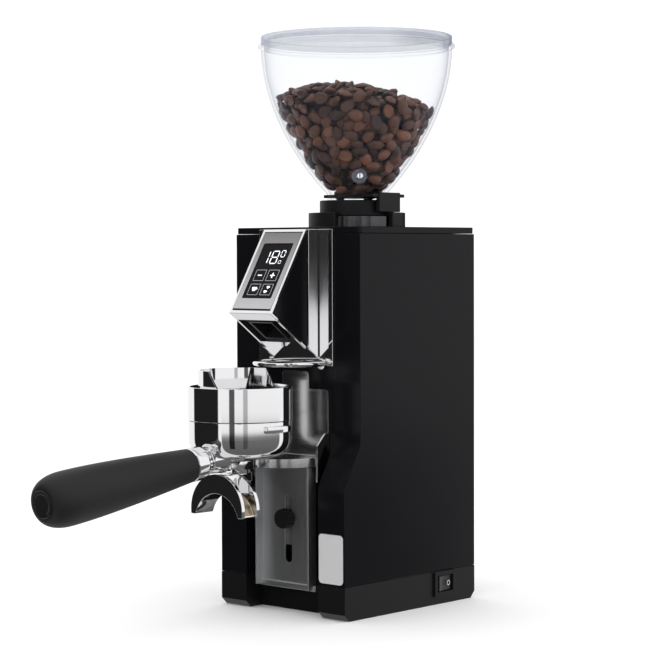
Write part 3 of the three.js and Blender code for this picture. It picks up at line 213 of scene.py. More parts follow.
# The black cloths: azimuth round from the front, half width, lowest and highest slope, depth.
black_cloths = [
    (-40, 35, -0.7, 0.62, 0.985),
    (26, 5, -0.6, 0.9, 0.9),
    (55, 4, -0.6, 0.9, 0.5),
    (41.7, 4, 0.032, 1.2, 0.97),
    (197, 22, -0.6, 1.2, 0.985),
    (72, 68, -9, -0.066, 0.84),
]
cloth_side_blur, cloth_foot_blur, cloth_head_blur = 1.5, 0.02, 0.015
tent_cloth = Finish("tent_cloth", shader="ShaderNodeEmission")
direction = tent_cloth.node("ShaderNodeVectorMath", {"operation": "NORMALIZE"},
                            {0: tent_cloth.place()})
along = [tent_cloth.node("ShaderNodeSeparateXYZ", inputs={0: direction}, out=i) for i in range(3)]


def ramped(value, low, high):
    inputs = {"Value": value, "From Min": low, "From Max": high}
    return tent_cloth.node("ShaderNodeMapRange", {"interpolation_type": "SMOOTHSTEP"}, inputs)


level = (1 - along[2] * along[2]).math("MAXIMUM", 1e-4).math("SQRT")
slope = along[2] / level
glow = ramped(along[2], -0.75, 0.1) * 0.25 + 0.78
for azimuth, half_width, foot, head, depth in black_cloths:
    turn = math.radians(azimuth)
    towards = (along[0] * math.sin(turn) - along[1] * math.cos(turn)) / level
    edge = math.cos(math.radians(half_width))
    inside = ramped(towards, math.cos(math.radians(half_width + cloth_side_blur)), edge)
    tall = ramped(slope, foot - cloth_foot_blur, foot) * ramped(slope, head + cloth_head_blur, head)
    glow = glow * (1 - inside * tall * depth)
tent_cloth.vary(Strength=glow)
bm = bmesh.new()
bmesh.ops.create_uvsphere(bm, u_segments=48, v_segments=24, radius=5.0)
tent = staged("tent", bm, tent_cloth.material)
for ray in ("camera", "diffuse", "transmission", "shadow", "volume_scatter"):
    setattr(tent, f"visible_{ray}", False)

air = bpy.data.worlds.new("air")
air.use_nodes = True
daylight = air.node_tree.nodes["Background"]
daylight.inputs["Color"].default_value = (1, 1, 1, 1)
daylight.inputs["Strength"].default_value = 1.12
bpy.context.scene.world = air


def lamp(name, place, aim, size, power):
    light = bpy.data.lights.new(name, "AREA")
    light.energy, light.size = power, size
    stand = bpy.data.objects.new(name, light)
    stand.location = place
    stand.rotation_euler = (Vector(aim) - Vector(place)).to_track_quat("-Z", "Y").to_euler()
    stand.visible_glossy = False
    bpy.context.scene.collection.objects.link(stand)


lamp("key_light", (-1.3, -1.2, 1.7), (0, 0, 0.25), 1.2, 5)
lamp("top_light", (0.4, 0.3, 2.1), (0, 0, 0.3), 1.6, 5)


# ---- Case and top cover ----------------------------------------------------------------------
# Sheet steel, folded into one shell with two legs in front and a loose cover on top. It is
# sprayed in black gloss paint, which runs a little thin over the folds.
def piece(name, bm, body, finish, stands_for=(), crease=32):
    """One finished piece, in place, on its body."""
    mesh = bpy.data.meshes.new(name)
    bm.to_mesh(mesh)
    bm.free()
    mesh.shade_smooth()
    mesh.set_sharp_from_angle(angle=math.radians(crease))
    mesh.materials.append(finish.material)
    thing = bpy.data.objects.new(name, mesh)
    bpy.context.scene.collection.objects.link(thing)
    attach(thing, body)
    if stands_for:
        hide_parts(*stands_for)
    if crease < 180:
        weighted = thing.modifiers.new("even_shading", "WEIGHTED_NORMAL")
        weighted.keep_sharp = True


def ease(bm, width, segments=3, sharper_than=40):
    """Rounds over every edge that turns by more than an angle."""
    limit = math.radians(sharper_than)
    edges = [e for e in bm.edges if len(e.link_faces) == 2 and e.calc_face_angle(0) > limit]
    bmesh.ops.bevel(bm, geom=edges, affect="EDGES", offset=width, offset_type="OFFSET",
                    segments=segments, profile=0.5, material=-1, clamp_overlap=True)


def copied(node):
    """A merged copy of a node's mesh, with its flat faces whole."""
    bm = bmesh.new()
    bm.from_mesh(frame["nodes"][node].data)
    bmesh.ops.remove_doubles(bm, verts=bm.verts, dist=0.002 * mm)
    bmesh.ops.dissolve_limit(bm, angle_limit=math.radians(0.5), verts=bm.verts, edges=bm.edges)
    return bm


def eased(node, width, finish, segments=3, sharper_than=40, crease=32):
    """A node with its edges rounded over, on the node's own body."""
    bm = copied(node)
    ease(bm, width, segments, sharper_than)
    piece(node + "_eased", bm, frame["nodes"][node]["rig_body"], finish, [node], crease)


gloss_paint = Finish("gloss_black_paint", {"Specular IOR Level": 0.12})
orange_peel = gloss_paint.noise(260, 2)
film = gloss_paint.noise(9, 3)
gloss_paint.tone(film, (0.0035, 0.0035, 0.0045), (0.006, 0.006, 0.0075), 0.14 + 0.06 * film)
gloss_paint.bump(orange_peel, 0.02 * mm, 0.25)
eased("case_shell", 1.0 * mm, gloss_paint)
eased("top_cover", 0.7 * mm, gloss_paint)

# ---- Base, feet, switch and gland ------------------------------------------------------------
# The base is a moulded tray with a fine spark texture. Rubber feet are pressed into it, and
# the mains switch and the cord's gland snap into its walls.
moulded_black = Finish("moulded_black", {"Specular IOR Level": 0.2})
spark = moulded_black.noise(2600, 2)
tone = moulded_black.noise(30, 3)
moulded_black.tone(tone, (0.005, 0.005, 0.0055), (0.008, 0.008, 0.009), 0.34 + 0.12 * spark)
moulded_black.bump(spark, 0.03 * mm, 0.5)
eased("base_tray", 0.8 * mm, moulded_black)
eased("switch_frame", 0.5 * mm, moulded_black)
eased("cable_gland", 0.5 * mm, moulded_black, sharper_than=50)

foot_rubber = Finish("foot_rubber", {"Specular IOR Level": 0.2})
wear = foot_rubber.noise(1500, 3)
foot_rubber.tone(wear, (0.012, 0.012, 0.012), (0.03, 0.03, 0.03), 0.75 + 0.15 * wear)
for corner in ("front_left", "front_right", "rear_left", "rear_right"):
    eased(f"foot_{corner}", 0.4 * mm, foot_rubber, sharper_than=50)

gloss_black = Finish("gloss_black_plastic", {"Specular IOR Level": 0.25})
sheen = gloss_black.noise(60, 2)
gloss_black.tone(sheen, (0.006, 0.006, 0.006), (0.012, 0.012, 0.012), 0.16 + 0.08 * sheen)
eased("switch_rocker", 0.5 * mm, gloss_black)

white_ink = Finish("white_ink", {"Specular IOR Level": 0.3})
ink = white_ink.noise(4000, 2)
white_ink.tone(ink, (0.55, 0.55, 0.55), (0.75, 0.75, 0.75), 0.5 + 0.1 * ink)


def kind_of(things, kind):
    return [thing for thing in things if isinstance(thing, kind)]


# The mark is a printed ring, laid on the half of the rocker that stands out.
low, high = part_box("switch_rocker")
ring_radii, ring_thick = (1.5 * mm, 2.0 * mm), 0.12 * mm
ring_sunk, ring_from_end, rocker_lean = 0.5 * mm, 5 * mm, math.radians(7)
bm = bmesh.new()
for radius in ring_radii:
    bmesh.ops.create_circle(bm, segments=32, radius=radius)
bmesh.ops.bridge_loops(bm, edges=bm.edges)
grown = bmesh.ops.extrude_face_region(bm, geom=bm.faces)["geom"]
bmesh.ops.translate(bm, vec=(0, 0, ring_thick), verts=kind_of(grown, bmesh.types.BMVert))
bmesh.ops.recalc_face_normals(bm, faces=bm.faces)
ring_place = (Matrix.Translation((high.x - ring_sunk, high.y - ring_from_end, (low.z + high.z) / 2))
              @ Matrix.Rotation(rocker_lean, 4, "Z") @ Matrix.Rotation(math.pi / 2, 4, "Y"))
bmesh.ops.transform(bm, matrix=ring_place, verts=bm.verts)
piece("rocker_mark", bm, "rocker", white_ink)

# ---- Blank badge -----------------------------------------------------------------------------
# A silver foil badge with rounded corners, stuck to the front of the right leg. Its face is
# left blank.
foil = Finish("silver_foil", {"Metallic": 0.35})
fleck = foil.noise(5200, 3)
foil.tone(fleck, (0.7, 0.7, 0.71), (0.85, 0.85, 0.86), 0.3 + 0.15 * fleck)
eased("leg_badge", 0.12 * mm, foil, segments=2)

# ---- Plinth, dial and collar -----------------------------------------------------------------
# The plinth is a moulded ring with a window at the front right, where the steel dial's knurl
# can be reached. The collar above it holds the hopper's neck.
neck_plastic = Finish("neck_plastic", {"Specular IOR Level": 0.2})
grit = neck_plastic.noise(3400, 3)
neck_plastic.tone(grit, (0.004, 0.005, 0.005), (0.013, 0.014, 0.013), 0.42 + 0.15 * grit)
neck_plastic.bump(grit, 0.05 * mm, 0.7)

bearing_steel = Finish("bearing_steel", {"Metallic": 1.0})
lathe_marks = bearing_steel.noise(90, 3, (1, 1, 30))
bearing_steel.tone(lathe_marks, (0.42, 0.42, 0.43), (0.6, 0.6, 0.61), 0.2 + 0.15 * lathe_marks)


def lathed(profile, centre, steps=96, closed=True):
    """A profile of (radius, height) pairs, turned about an upright axis."""
    bm = bmesh.new()
    verts = [bm.verts.new((centre[0] + r, centre[1], z)) for r, z in profile]
    pairs = list(zip(verts, verts[1:])) + ([(verts[-1], verts[0])] if closed else [])
    edges = [bm.edges.new(pair) for pair in pairs]
    bmesh.ops.spin(bm, geom=verts + edges, cent=(centre[0], centre[1], 0), axis=(0, 0, 1),
                   angle=2 * math.pi, steps=steps, use_merge=True)
    bmesh.ops.remove_doubles(bm, verts=bm.verts, dist=0.002 * mm)
    bmesh.ops.recalc_face_normals(bm, faces=bm.faces)
    return bm


def middle(node):
    """The middle of a node's box."""
    low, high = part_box(node)
    return (low + high) / 2


eased("hopper_plinth", 0.5 * mm, neck_plastic, sharper_than=50)
blackened = Finish("blackened_steel", {"Metallic": 1.0})
oxide = blackened.noise(200, 3)
blackened.tone(oxide, (0.05, 0.05, 0.055), (0.14, 0.14, 0.15), 0.22 + 0.2 * oxide)
eased("grind_dial", 0.2 * mm, blackened, segments=2, sharper_than=30)

low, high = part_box("hopper_collar")
axis = middle("hopper_collar")
outer = (high.x - low.x) / 2
collar_bore, collar_throat, collar_ledge = 22.9 * mm, 20 * mm, 2.6 * mm
bm = lathed([(collar_throat, low.z), (outer, low.z), (outer, high.z), (collar_bore, high.z),
             (collar_bore, low.z + collar_ledge), (collar_throat, low.z + collar_ledge)], axis)
ease(bm, 0.8 * mm)
piece("collar", bm, "frame", neck_plastic, ["hopper_collar"])
collar_top = high.z

# ---- Clear hopper and lid --------------------------------------------------------------------
# Injection moulded in clear plastic, with a flange round the mouth and a screw boss low on
# the front. The lid is a clear disc whose skirt drops into the mouth.
def clear_finish(name, veil, edge):
    """Clear plastic mixed with an opaque grey-blue shader: a painted reflection veil, heavier towards its
    edges, besides the shader's real gloss.
    """
    finish = Finish(name, {"Base Color": (0.3, 0.33, 0.43, 1), "Specular IOR Level": 0.6})
    finish.vary(Roughness=0.03 + 0.03 * finish.noise(40, 3))
    window = finish.node("ShaderNodeBsdfTransparent", inputs={"Color": (0.985, 0.988, 0.993, 1)})
    grazing = finish.node("ShaderNodeLayerWeight", inputs={"Blend": 0.5}, out="Facing")
    mixed = finish.node("ShaderNodeMixShader", inputs={0: grazing ** 5 * edge + veil, 1: window})
    finish.tree.links.new(finish.shader.outputs[0], mixed.socket.node.inputs[2])
    finish.tree.links.new(mixed.socket, finish.output.inputs["Surface"])
    return finish


# Both paint a grey veil of reflection. The second paints a heavier one, a painted reflection on the screw
# boss and the lid's bead.
clear = clear_finish("clear_plastic", 0.022, 0.5)
clear_painted_veil = clear_finish("clear_plastic_painted_veil", 0.2, 0.7)

hopper_wall, flange_thick, flange_radius = 2.4 * mm, 2.2 * mm, 75 * mm
neck_radius, neck_rise = 22.5 * mm, 4.5 * mm
foot_z, mouth_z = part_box("hopper")[0].z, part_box("hopper")[1].z
bowl_foot = Vector((23.5 * mm, collar_top + 5.7 * mm, 0))
bowl_head = Vector((72.8 * mm, mouth_z - flange_thick, 0))
foot_pull, head_pull = Vector((17, 17, 0)) * mm, Vector((0, 48, 0)) * mm
curve = interpolate_bezier(bowl_foot, bowl_foot + foot_pull, bowl_head - head_pull, bowl_head, 28)
outside = [(neck_radius, foot_z), (neck_radius, collar_top + neck_rise)] + [(p.x, p.y) for p in curve]


def inset_line(points, distance):
    """The line a set distance to the left of a line of points."""
    moved = []
    for i, (r, z) in enumerate(points):
        r0, z0 = points[max(i - 1, 0)]
        r1, z1 = points[min(i + 1, len(points) - 1)]
        length = math.hypot(r1 - r0, z1 - z0)
        moved.append((r - (z1 - z0) / length * distance, z + (r1 - r0) / length * distance))
    return moved


inside_line = inset_line(outside, hopper_wall)
bowl = outside + [(flange_radius, mouth_z - flange_thick), (flange_radius, mouth_z),
                  (inside_line[-1][0], mouth_z)] + inside_line[::-1]
bm = lathed(bowl, axis, steps=128)
ease(bm, 0.5 * mm, 2, 50)
piece("hopper_bowl", bm, "hopper_unit", clear, ["hopper"])

low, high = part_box("hopper_lid")
lid_radius, lid_plate, lid_skirt_wall, lid_gap = 73 * mm, 1.7 * mm, 1.9 * mm, 0.3 * mm
skirt = inside_line[-1][0] - lid_gap
rim_foot = mouth_z + lid_gap
bm = lathed([(0, high.z - lid_plate), (skirt - lid_skirt_wall, high.z - lid_plate),
             (skirt - lid_skirt_wall, low.z), (skirt, low.z), (skirt, rim_foot), (lid_radius, rim_foot),
             (lid_radius, high.z), (0, high.z)], axis, steps=128, closed=False)
ease(bm, 0.7 * mm, 3, 50)
piece("lid", bm, "lid", clear, ["hopper_lid"])

# A thicker bead runs round inside the lid's edge.
bead_inner, bead_outer, bead_foot = lid_radius - 1.2 * mm, lid_radius - 0.4 * mm, rim_foot + 0.9 * mm
bm = lathed([(bead_inner, high.z - 0.2 * mm), (bead_outer, high.z - 0.8 * mm),
             (bead_outer, bead_foot), (bead_inner, bead_foot)], axis, steps=128)
# The bead shows the heavier painted reflection veil.
piece("lid_edge", bm, "lid", clear_painted_veil)

# The boss is a short round stub, and its screw is chromed with a slot.
boss_turn = math.radians(-45)
boss_z = middle("hopper_screw").z
boss_frame = (Matrix.Translation((axis.x, axis.y, boss_z)) @ Matrix.Rotation(boss_turn, 4, "Z")
              @ Matrix.Rotation(math.pi / 2, 4, "Y"))
boss_reach, boss_root = 36.6 * mm, 27 * mm
boss_root_radius, boss_tip_radius = 5.9 * mm, 5.6 * mm
bm = bmesh.new()
bmesh.ops.create_cone(bm, cap_ends=True, segments=48, radius1=boss_root_radius,
                      radius2=boss_tip_radius, depth=boss_reach - boss_root)
bmesh.ops.translate(bm, verts=bm.verts, vec=(0, 0, (boss_reach + boss_root) / 2))
ease(bm, 0.8 * mm, 3, 50)
bmesh.ops.transform(bm, matrix=boss_frame, verts=bm.verts)
# The boss shows the heavier painted reflection veil.
piece("hopper_boss", bm, "hopper_unit", clear_painted_veil)

chrome = Finish("chrome", {"Metallic": 1.0})
veil = chrome.noise(45, 3)
chrome.tone(veil, (0.8, 0.8, 0.81), (0.88, 0.88, 0.89), 0.035 + 0.04 * veil)


def block(size, centre):
    """A box of a given size about a centre."""
    bm = bmesh.new()
    bmesh.ops.create_cube(bm, size=1.0)
    bmesh.ops.scale(bm, vec=size, verts=bm.verts)
    bmesh.ops.translate(bm, vec=centre, verts=bm.verts)
    return bm


screw_radius, screw_thick, screw_reach = 3 * mm, 2 * mm, 38.3 * mm
screw_place = boss_frame @ Matrix.Translation((0, 0, screw_reach))
bm = bmesh.new()
bmesh.ops.create_cone(bm, cap_ends=True, segments=32, radius1=screw_radius, radius2=screw_radius * 0.8,
                      depth=screw_thick)
ease(bm, screw_thick * 0.25, 2, 30)
bmesh.ops.transform(bm, matrix=screw_place, verts=bm.verts)
piece("boss_screw", bm, "hopper_unit", chrome, ["hopper_screw"])
slot_long, slot_wide, slot_deep = screw_radius * 1.3, screw_radius * 0.22, screw_thick * 0.1
bm = block((slot_long, slot_wide, slot_deep), (0, 0, screw_thick * 0.52))
bmesh.ops.transform(bm, matrix=screw_place, verts=bm.verts)
piece("boss_screw_slot", bm, "hopper_unit", gloss_black)
eased("hopper_gate", 0.4 * mm, neck_plastic)

# ---- Coffee beans ----------------------------------------------------------------------------
# A heap of roasted beans, each with a flat side and a crease, lies against the bowl and slopes
# down to the right. A near-black core, painted shade, fills the heap under the outer beans.
roasted = Finish("roasted_beans", {"Specular IOR Level": 0.4})
patch = roasted.noise(120, 2)
streak = roasted.noise(1400, 3)
shade = roasted.node("ShaderNodeAttribute", {"attribute_name": "roast"}, out="Fac")
roast_mask = (shade * 0.75 + patch * 0.25).clamped()
roasted.tone(roast_mask, (0.016, 0.0065, 0.004), (0.2, 0.078, 0.036), 0.3 + 0.15 * streak)
roasted.bump(streak, 0.08 * mm, 0.6)

random.seed(7)
bean_long, bean_wide, bean_thick = 6.3 * mm, 4.6 * mm, 3.4 * mm
heap_peak = Vector((-13 * mm, axis.y - 12 * mm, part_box("coffee_beans")[1].z - 3.8 * mm))
heap_left_fall, heap_right_fall, heap_deep_fall = 6.7, 3.7, 3.2


def heap_top(x, y):
    """The heap's height, steeper towards the viewer's left than towards the right."""
    dx, dy = x - heap_peak.x, y - heap_peak.y
    across = dx * math.cos(camera_heading) + dy * math.sin(camera_heading)
    deep = dy * math.cos(camera_heading) - dx * math.sin(camera_heading)
    fall = heap_left_fall if across < 0 else heap_right_fall
    return heap_peak.z - fall * across * across - heap_deep_fall * deep * deep


def bowl_radius(z):
    """The hopper's inner radius at a height."""
    for (r0, z0), (r1, z1) in zip(inside_line, inside_line[1:]):
        if z0 <= z <= z1:
            return r0 + (r1 - r0) * (z - z0) / (z1 - z0)
    return inside_line[0][0]


# The shape every bean shares: a flattened ball whose flat side has a crease along it.
flat_side, crease_deep, crease_wide, bean_taper = 0.45, 0.34, 0.28, 0.12
bm = bmesh.new()
bmesh.ops.create_uvsphere(bm, u_segments=10, v_segments=7, radius=1.0)
bean_points = []
for v in bm.verts:
    x, y, z = v.co
    if z < 0:
        z = z * flat_side + crease_deep * math.exp(-(y / crease_wide) ** 2) * (1 - x * x)
    taper = 1 - bean_taper * x
    bean_points.append(Vector((x * bean_long, y * bean_wide * taper, z * bean_thick)))
bean_faces = [[v.index for v in face.verts] for face in bm.faces]
bm.free()

# Places are tried at random, half of them along the wall, and kept where no bean is too near.
apart = 7.3 * mm
wall_room = 4.9 * mm
second_layer_in, second_layer_down = 5.5 * mm, 5 * mm
tries = 26000
taken = {}
gate_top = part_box("hopper_gate")[0].z + 12 * mm
spots = []
for attempt in range(tries):
    on_wall = attempt % 2 == 0
    turn = random.uniform(0, 2 * math.pi)
    if on_wall:
        z = random.uniform(gate_top, heap_peak.z)
        radius = bowl_radius(z) - wall_room - random.choice((0, 0, second_layer_in))
    else:
        radius = math.sqrt(random.random()) * (bowl_radius(heap_peak.z) - wall_room)
    spot = Vector((radius * math.cos(turn), axis.y + radius * math.sin(turn), 0))
    surface = heap_top(spot.x, spot.y)
    spot.z = z if on_wall else surface - random.choice((0, 0, second_layer_down))
    if spot.z > surface or radius > bowl_radius(spot.z) - wall_room + 0.1 * mm:
        continue
    home = tuple(int(c // apart) for c in spot)
    near = [p for i in (-1, 0, 1) for j in (-1, 0, 1) for k in (-1, 0, 1)
            for p in taken.get((home[0] + i, home[1] + j, home[2] + k), [])]
    if any((p - spot).length_squared < apart * apart for p in near):
        continue
    taken.setdefault(home, []).append(spot)
    spots.append((spot, on_wall))

wall_lean, top_lean, flat_side_out, roast_middle, roast_spread = 0.2, 0.34, 0.35, 0.36, 0.24
points, faces, tones = [], [], []
for spot, on_wall in spots:
    away = Vector((spot.x, spot.y - axis.y, -0.02)).normalized() if on_wall else Vector((0, 0, 1))
    lean = Vector([random.gauss(0, wall_lean if on_wall else top_lean) for _ in range(3)])
    face_out = (away + lean).normalized()
    if random.random() < flat_side_out:
        face_out = -face_out
    place = (Matrix.Translation(spot) @ face_out.to_track_quat("Z", "Y").to_matrix().to_4x4()
             @ Matrix.Rotation(random.uniform(0, math.pi), 4, "Z")
             @ Matrix.Scale(random.uniform(0.88, 1.08), 4))
    faces += [[len(points) + i for i in face] for face in bean_faces]
    points += [place @ p for p in bean_points]
    tones += [min(1.0, max(0.0, random.gauss(roast_middle, roast_spread)))] * len(bean_points)
heap = bpy.data.meshes.new("heap")
heap.from_pydata(points, [], faces)
heap.attributes.new("roast", "FLOAT", "POINT").data.foreach_set("value", tones)
bm = bmesh.new()
bm.from_mesh(heap)
piece("loose_beans", bm, "hopper_unit", roasted, ["coffee_beans"], crease=180)

# Painted shade: the core's near-black brown stands in for the shadow between the beans deep in the heap.
core_shade_paint = Finish("shaded_beans")
gap_shade_noise = core_shade_paint.noise(200, 2)
core_shade_paint.tone(gap_shade_noise, (0.006, 0.003, 0.002), (0.02, 0.009, 0.005), 0.8 + 0.1 * gap_shade_noise)
core_below_peak, core_in, core_down, core_step = 8 * mm, 9 * mm, 7 * mm, 4 * mm
core_rings = []
core_z = gate_top
while core_z < heap_peak.z - core_below_peak:
    core_rings.append((bowl_radius(core_z) - core_in, core_z))
    core_z += core_step
bm = lathed([(0, core_rings[0][1]), *core_rings, (0, core_rings[-1][1])], axis, steps=48, closed=False)
for v in bm.verts:
    v.co.z = min(v.co.z, max(gate_top, heap_top(v.co.x, v.co.y) - core_down))
piece("heap_core", bm, "hopper_unit", core_shade_paint, crease=60)

# ---- Works inside the case -------------------------------------------------------------------
# The grinding set, the motor and the electrics are closed in by the case. Each keeps its own
# metal, winding or board finish.
cast_metal = Finish("cast_aluminium", {"Metallic": 1.0})
cast_grain = cast_metal.noise(1500, 3)
cast_metal.tone(cast_grain, (0.4, 0.41, 0.42), (0.58, 0.59, 0.6), 0.4 + 0.2 * cast_grain)
windings = Finish("copper_windings", {"Metallic": 0.8})
turns = windings.noise(300, 2, (1, 1, 12))
windings.tone(turns, (0.2, 0.08, 0.03), (0.45, 0.2, 0.09), 0.3 + 0.2 * turns)
circuit = Finish("circuit_board")
tracks = circuit.noise(500, 2, (1, 8, 1))
circuit.tone(tracks, (0.008, 0.05, 0.02), (0.02, 0.12, 0.05), 0.35 + 0.2 * tracks)


def dressed(finish, *nodes):
    """Gives nodes whose shape stays as it is a finish of their own."""
    for node in nodes:
        materials = frame["nodes"][node].data.materials
        materials.clear()
        materials.append(finish.material)


dressed(cast_metal, "grinding_chamber", "upper_burr_carrier", "lower_burr_carrier", "motor_top_bell",
        "motor_bottom_bell", "load_arm", "load_cell")
dressed(bearing_steel, "upper_burr", "lower_burr", "motor_shaft", "motor_rotor", "upper_bearing",
        "lower_bearing", "load_cell_bracket")
dressed(windings, "motor_stator")
dressed(circuit, "control_board", "power_supply", "display_board")
dressed(foil, "run_capacitor")
dressed(moulded_black, "cooling_fan")

# ---- Beak and neck ---------------------------------------------------------------------------
# The beak is a polished wedge with black cheeks, carried on a chromed neck that is screwed to
# the case. The chute for the ground coffee opens in its dark underside.
eased("beak_shell", 0.25 * mm, chrome, segments=2, sharper_than=25)
eased("neck_bracket", 0.25 * mm, chrome, segments=2)

# A gloss black strip runs up the neck on each side of the beak, painted shade for the seam there.
low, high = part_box("neck_bracket")
beak_side = 23.5 * mm
seam_wide, seam_thick, seam_short, seam_raised = 0.9 * mm, 0.5 * mm, 7 * mm, 3 * mm
seam_from_beak, seam_from_back = 0.3 * mm, 1.4 * mm
for name, side in (("left", -1), ("right", 1)):
    seam_middle = (side * (beak_side + seam_from_beak), high.y - seam_from_back,
                   (low.z + high.z) / 2 + seam_raised)
    bm = block((seam_wide, seam_thick, high.z - low.z - seam_short), seam_middle)
    ease(bm, 0.15 * mm, 2)
    piece(f"neck_seam_{name}", bm, "frame", gloss_black)
eased("beak_cheek_left", 0.15 * mm, gloss_paint, segments=2)
eased("beak_cheek_right", 0.15 * mm, gloss_paint, segments=2)
eased("outlet_chute", 0.3 * mm, gloss_black, segments=2)
eased("outlet_plate", 0.2 * mm, moulded_black, segments=2)

# ---- Display ---------------------------------------------------------------------------------
# A brushed plate frames a pane of black glass. Behind the glass a lit number shows, with four
# touch keys below it, each in a thin lit square.
brushed = Finish("brushed_plate", {"Metallic": 1.0})
lines = brushed.noise(2600, 2, (0.02, 1, 1))
# The plate is painted lighter at its foot and darker at its top: a painted reflection that changes with
# height.
height = brushed.node("ShaderNodeSeparateXYZ", inputs={0: brushed.place()}, out=2)
face_low, face_high = (corner.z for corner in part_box("display_bezel"))
painted_reflection_rise = ((height - face_low) / (face_high - face_low)).clamped()
brushed.tone(painted_reflection_rise, (0.66, 0.66, 0.68), (0.26, 0.25, 0.24), 0.3 + 0.16 * lines)
brushed.bump(lines, 0.02 * mm, 0.35)
eased("display_bezel", 0.55 * mm, brushed, segments=2)

pane = Finish("display_glass", {"Specular IOR Level": 0.07})
smear = pane.noise(35, 2)
pane.tone(smear, (0.003, 0.003, 0.004), (0.006, 0.006, 0.008), 0.03 + 0.05 * smear)
eased("display_glass", 0.2 * mm, pane, segments=2)

lit = Finish("lit_segments", {"Base Color": (0.9, 0.92, 0.95, 1), "Emission Strength": 0.6})
flicker = lit.noise(3000, 2)
lit.vary(Emission_Color=lit.between(flicker, (0.86, 0.9, 0.95), (1, 1, 1)),
         Roughness=0.3 + 0.1 * flicker)
faint = Finish("lit_key_frames", {"Base Color": (0.5, 0.5, 0.5, 1), "Emission Strength": 0.22})
flicker = faint.noise(3000, 2)
faint.vary(Emission_Color=faint.between(flicker, (0.8, 0.82, 0.85), (1, 1, 1)),
           Roughness=0.3 + 0.1 * flicker)

glass_mesh = frame["nodes"]["display_glass"].data
glass_fronts = [p for p in glass_mesh.polygons if p.normal.y < 0 and p.normal.z > 0]
face_out = max(glass_fronts, key=lambda p: p.area).normal
face_up = Vector((1, 0, 0)).cross(face_out) * -1
if face_up.z < 0:
    face_up = -face_up
pane_middle = middle("display_glass")
glass_corners = [v.co - pane_middle for v in glass_mesh.vertices]
pane_half_height = max(c.dot(face_up) for c in glass_corners)
pane_half_width = max(c.x for c in glass_corners)
pane_face = max(c.dot(face_out) for c in glass_corners)
display_frame = Matrix((
    (1, face_up.x, face_out.x, pane_middle.x), (0, face_up.y, face_out.y, pane_middle.y),
    (0, face_up.z, face_out.z, pane_middle.z), (0, 0, 0, 1)))
ink_lift = pane_face + 0.03 * mm
ink_thick = 0.05 * mm


def bar(bm, u0, v0, u1, v1, width):
    """One lit bar between two points on the pane."""
    start, end = Vector((u0, v0, 0)), Vector((u1, v1, 0))
    span = end - start
    made = bmesh.ops.create_cube(bm, size=1.0)["verts"]
    bmesh.ops.scale(bm, vec=(span.length, width, ink_thick), verts=made)
    turn = Matrix.Rotation(math.atan2(span.y, span.x), 4, "Z")
    centre = (start + end) / 2 + Vector((0, 0, ink_lift))
    bmesh.ops.transform(bm, matrix=display_frame @ Matrix.Translation(centre) @ turn, verts=made)


segments_of = {"0": "abcdef", "1": "bc", "8": "abcdefg"}
bar_share = 0.62


def digit(bm, figure, left, foot, width, height, stroke):
    """A seven-segment figure."""
    top, half = foot + height, foot + height / 2
    right = left + width
    ends = {
        "a": (left, top, right, top), "b": (right, top, right, half), "c": (right, half, right, foot),
        "d": (left, foot, right, foot), "e": (left, half, left, foot), "f": (left, top, left, half),
        "g": (left, half, right, half),
    }
    for letter in segments_of[figure]:
        u0, v0, u1, v1 = ends[letter]
        span = Vector((u1 - u0, v1 - v0)).normalized() * stroke * bar_share
        bar(bm, u0 + span.x, v0 + span.y, u1 - span.x, v1 - span.y, stroke)


figure_foot, small_left = pane_half_height * 0.28, pane_half_width * 0.46
tall_figure, tall_stroke = 10.4 * mm, 0.8 * mm
bm = bmesh.new()
digit(bm, "1", -pane_half_width * 0.5, figure_foot, 2.2 * mm, tall_figure, tall_stroke)
digit(bm, "8", -pane_half_width * 0.14, figure_foot, 6.2 * mm, tall_figure, tall_stroke)
digit(bm, "0", small_left, pane_half_height * 0.52, 3.6 * mm, 5.4 * mm, 0.6 * mm)
digit(bm, "0", small_left, figure_foot, 2.4 * mm, 2.4 * mm, 0.4 * mm)
key_half, key_side, frame_line = 5.0 * mm, 0.9, 0.22 * mm
sign_line, minus_half, plus_half = 0.9 * mm, 2 * mm, 2.2 * mm
key_columns = (-pane_half_width * 0.44, pane_half_width * 0.44)
key_rows = (-pane_half_height * 0.16, -pane_half_height * 0.68)
minus, plus, one_cup, two_cups = [(u, v) for v in key_rows for u in key_columns]
bar(bm, minus[0] - minus_half, minus[1], minus[0] + minus_half, minus[1], sign_line)
bar(bm, plus[0] - plus_half, plus[1], plus[0] + plus_half, plus[1], sign_line)
bar(bm, plus[0], plus[1] - plus_half, plus[0], plus[1] + plus_half, sign_line)


def cup(bm, u, v, size):
    """A filled cup seen from the side, with a small ear."""
    for step in range(5):
        drop = step / 4
        half = size * (1 - 0.5 * drop ** 2)
        level = v + size * (0.7 - drop * 1.1)
        bar(bm, u - half, level, u + half, level, size * 0.32)
    bar(bm, u + size * 1.0, v + size * 0.5, u + size * 1.35, v + size * 0.25, size * 0.2)
    bar(bm, u + size * 1.35, v + size * 0.25, u + size * 0.85, v - size * 0.05, size * 0.2)


cup(bm, one_cup[0], one_cup[1], 2.3 * mm)
cup(bm, two_cups[0] + 0.6 * mm, two_cups[1] + 1.7 * mm, 1.4 * mm)
cup(bm, two_cups[0] - 0.8 * mm, two_cups[1] - 2.0 * mm, 1.4 * mm)
piece("lit_figures", bm, "frame", lit)
bm = bmesh.new()
for u, v in (minus, plus, one_cup, two_cups):
    for side in (-1, 1):
        across, upright = v + side * key_half * key_side, u + side * key_half
        bar(bm, u - key_half, across, u + key_half, across, frame_line)
        bar(bm, upright, v - key_half * key_side, upright, v + key_half * key_side, frame_line)
piece("key_frames", bm, "frame", faint)

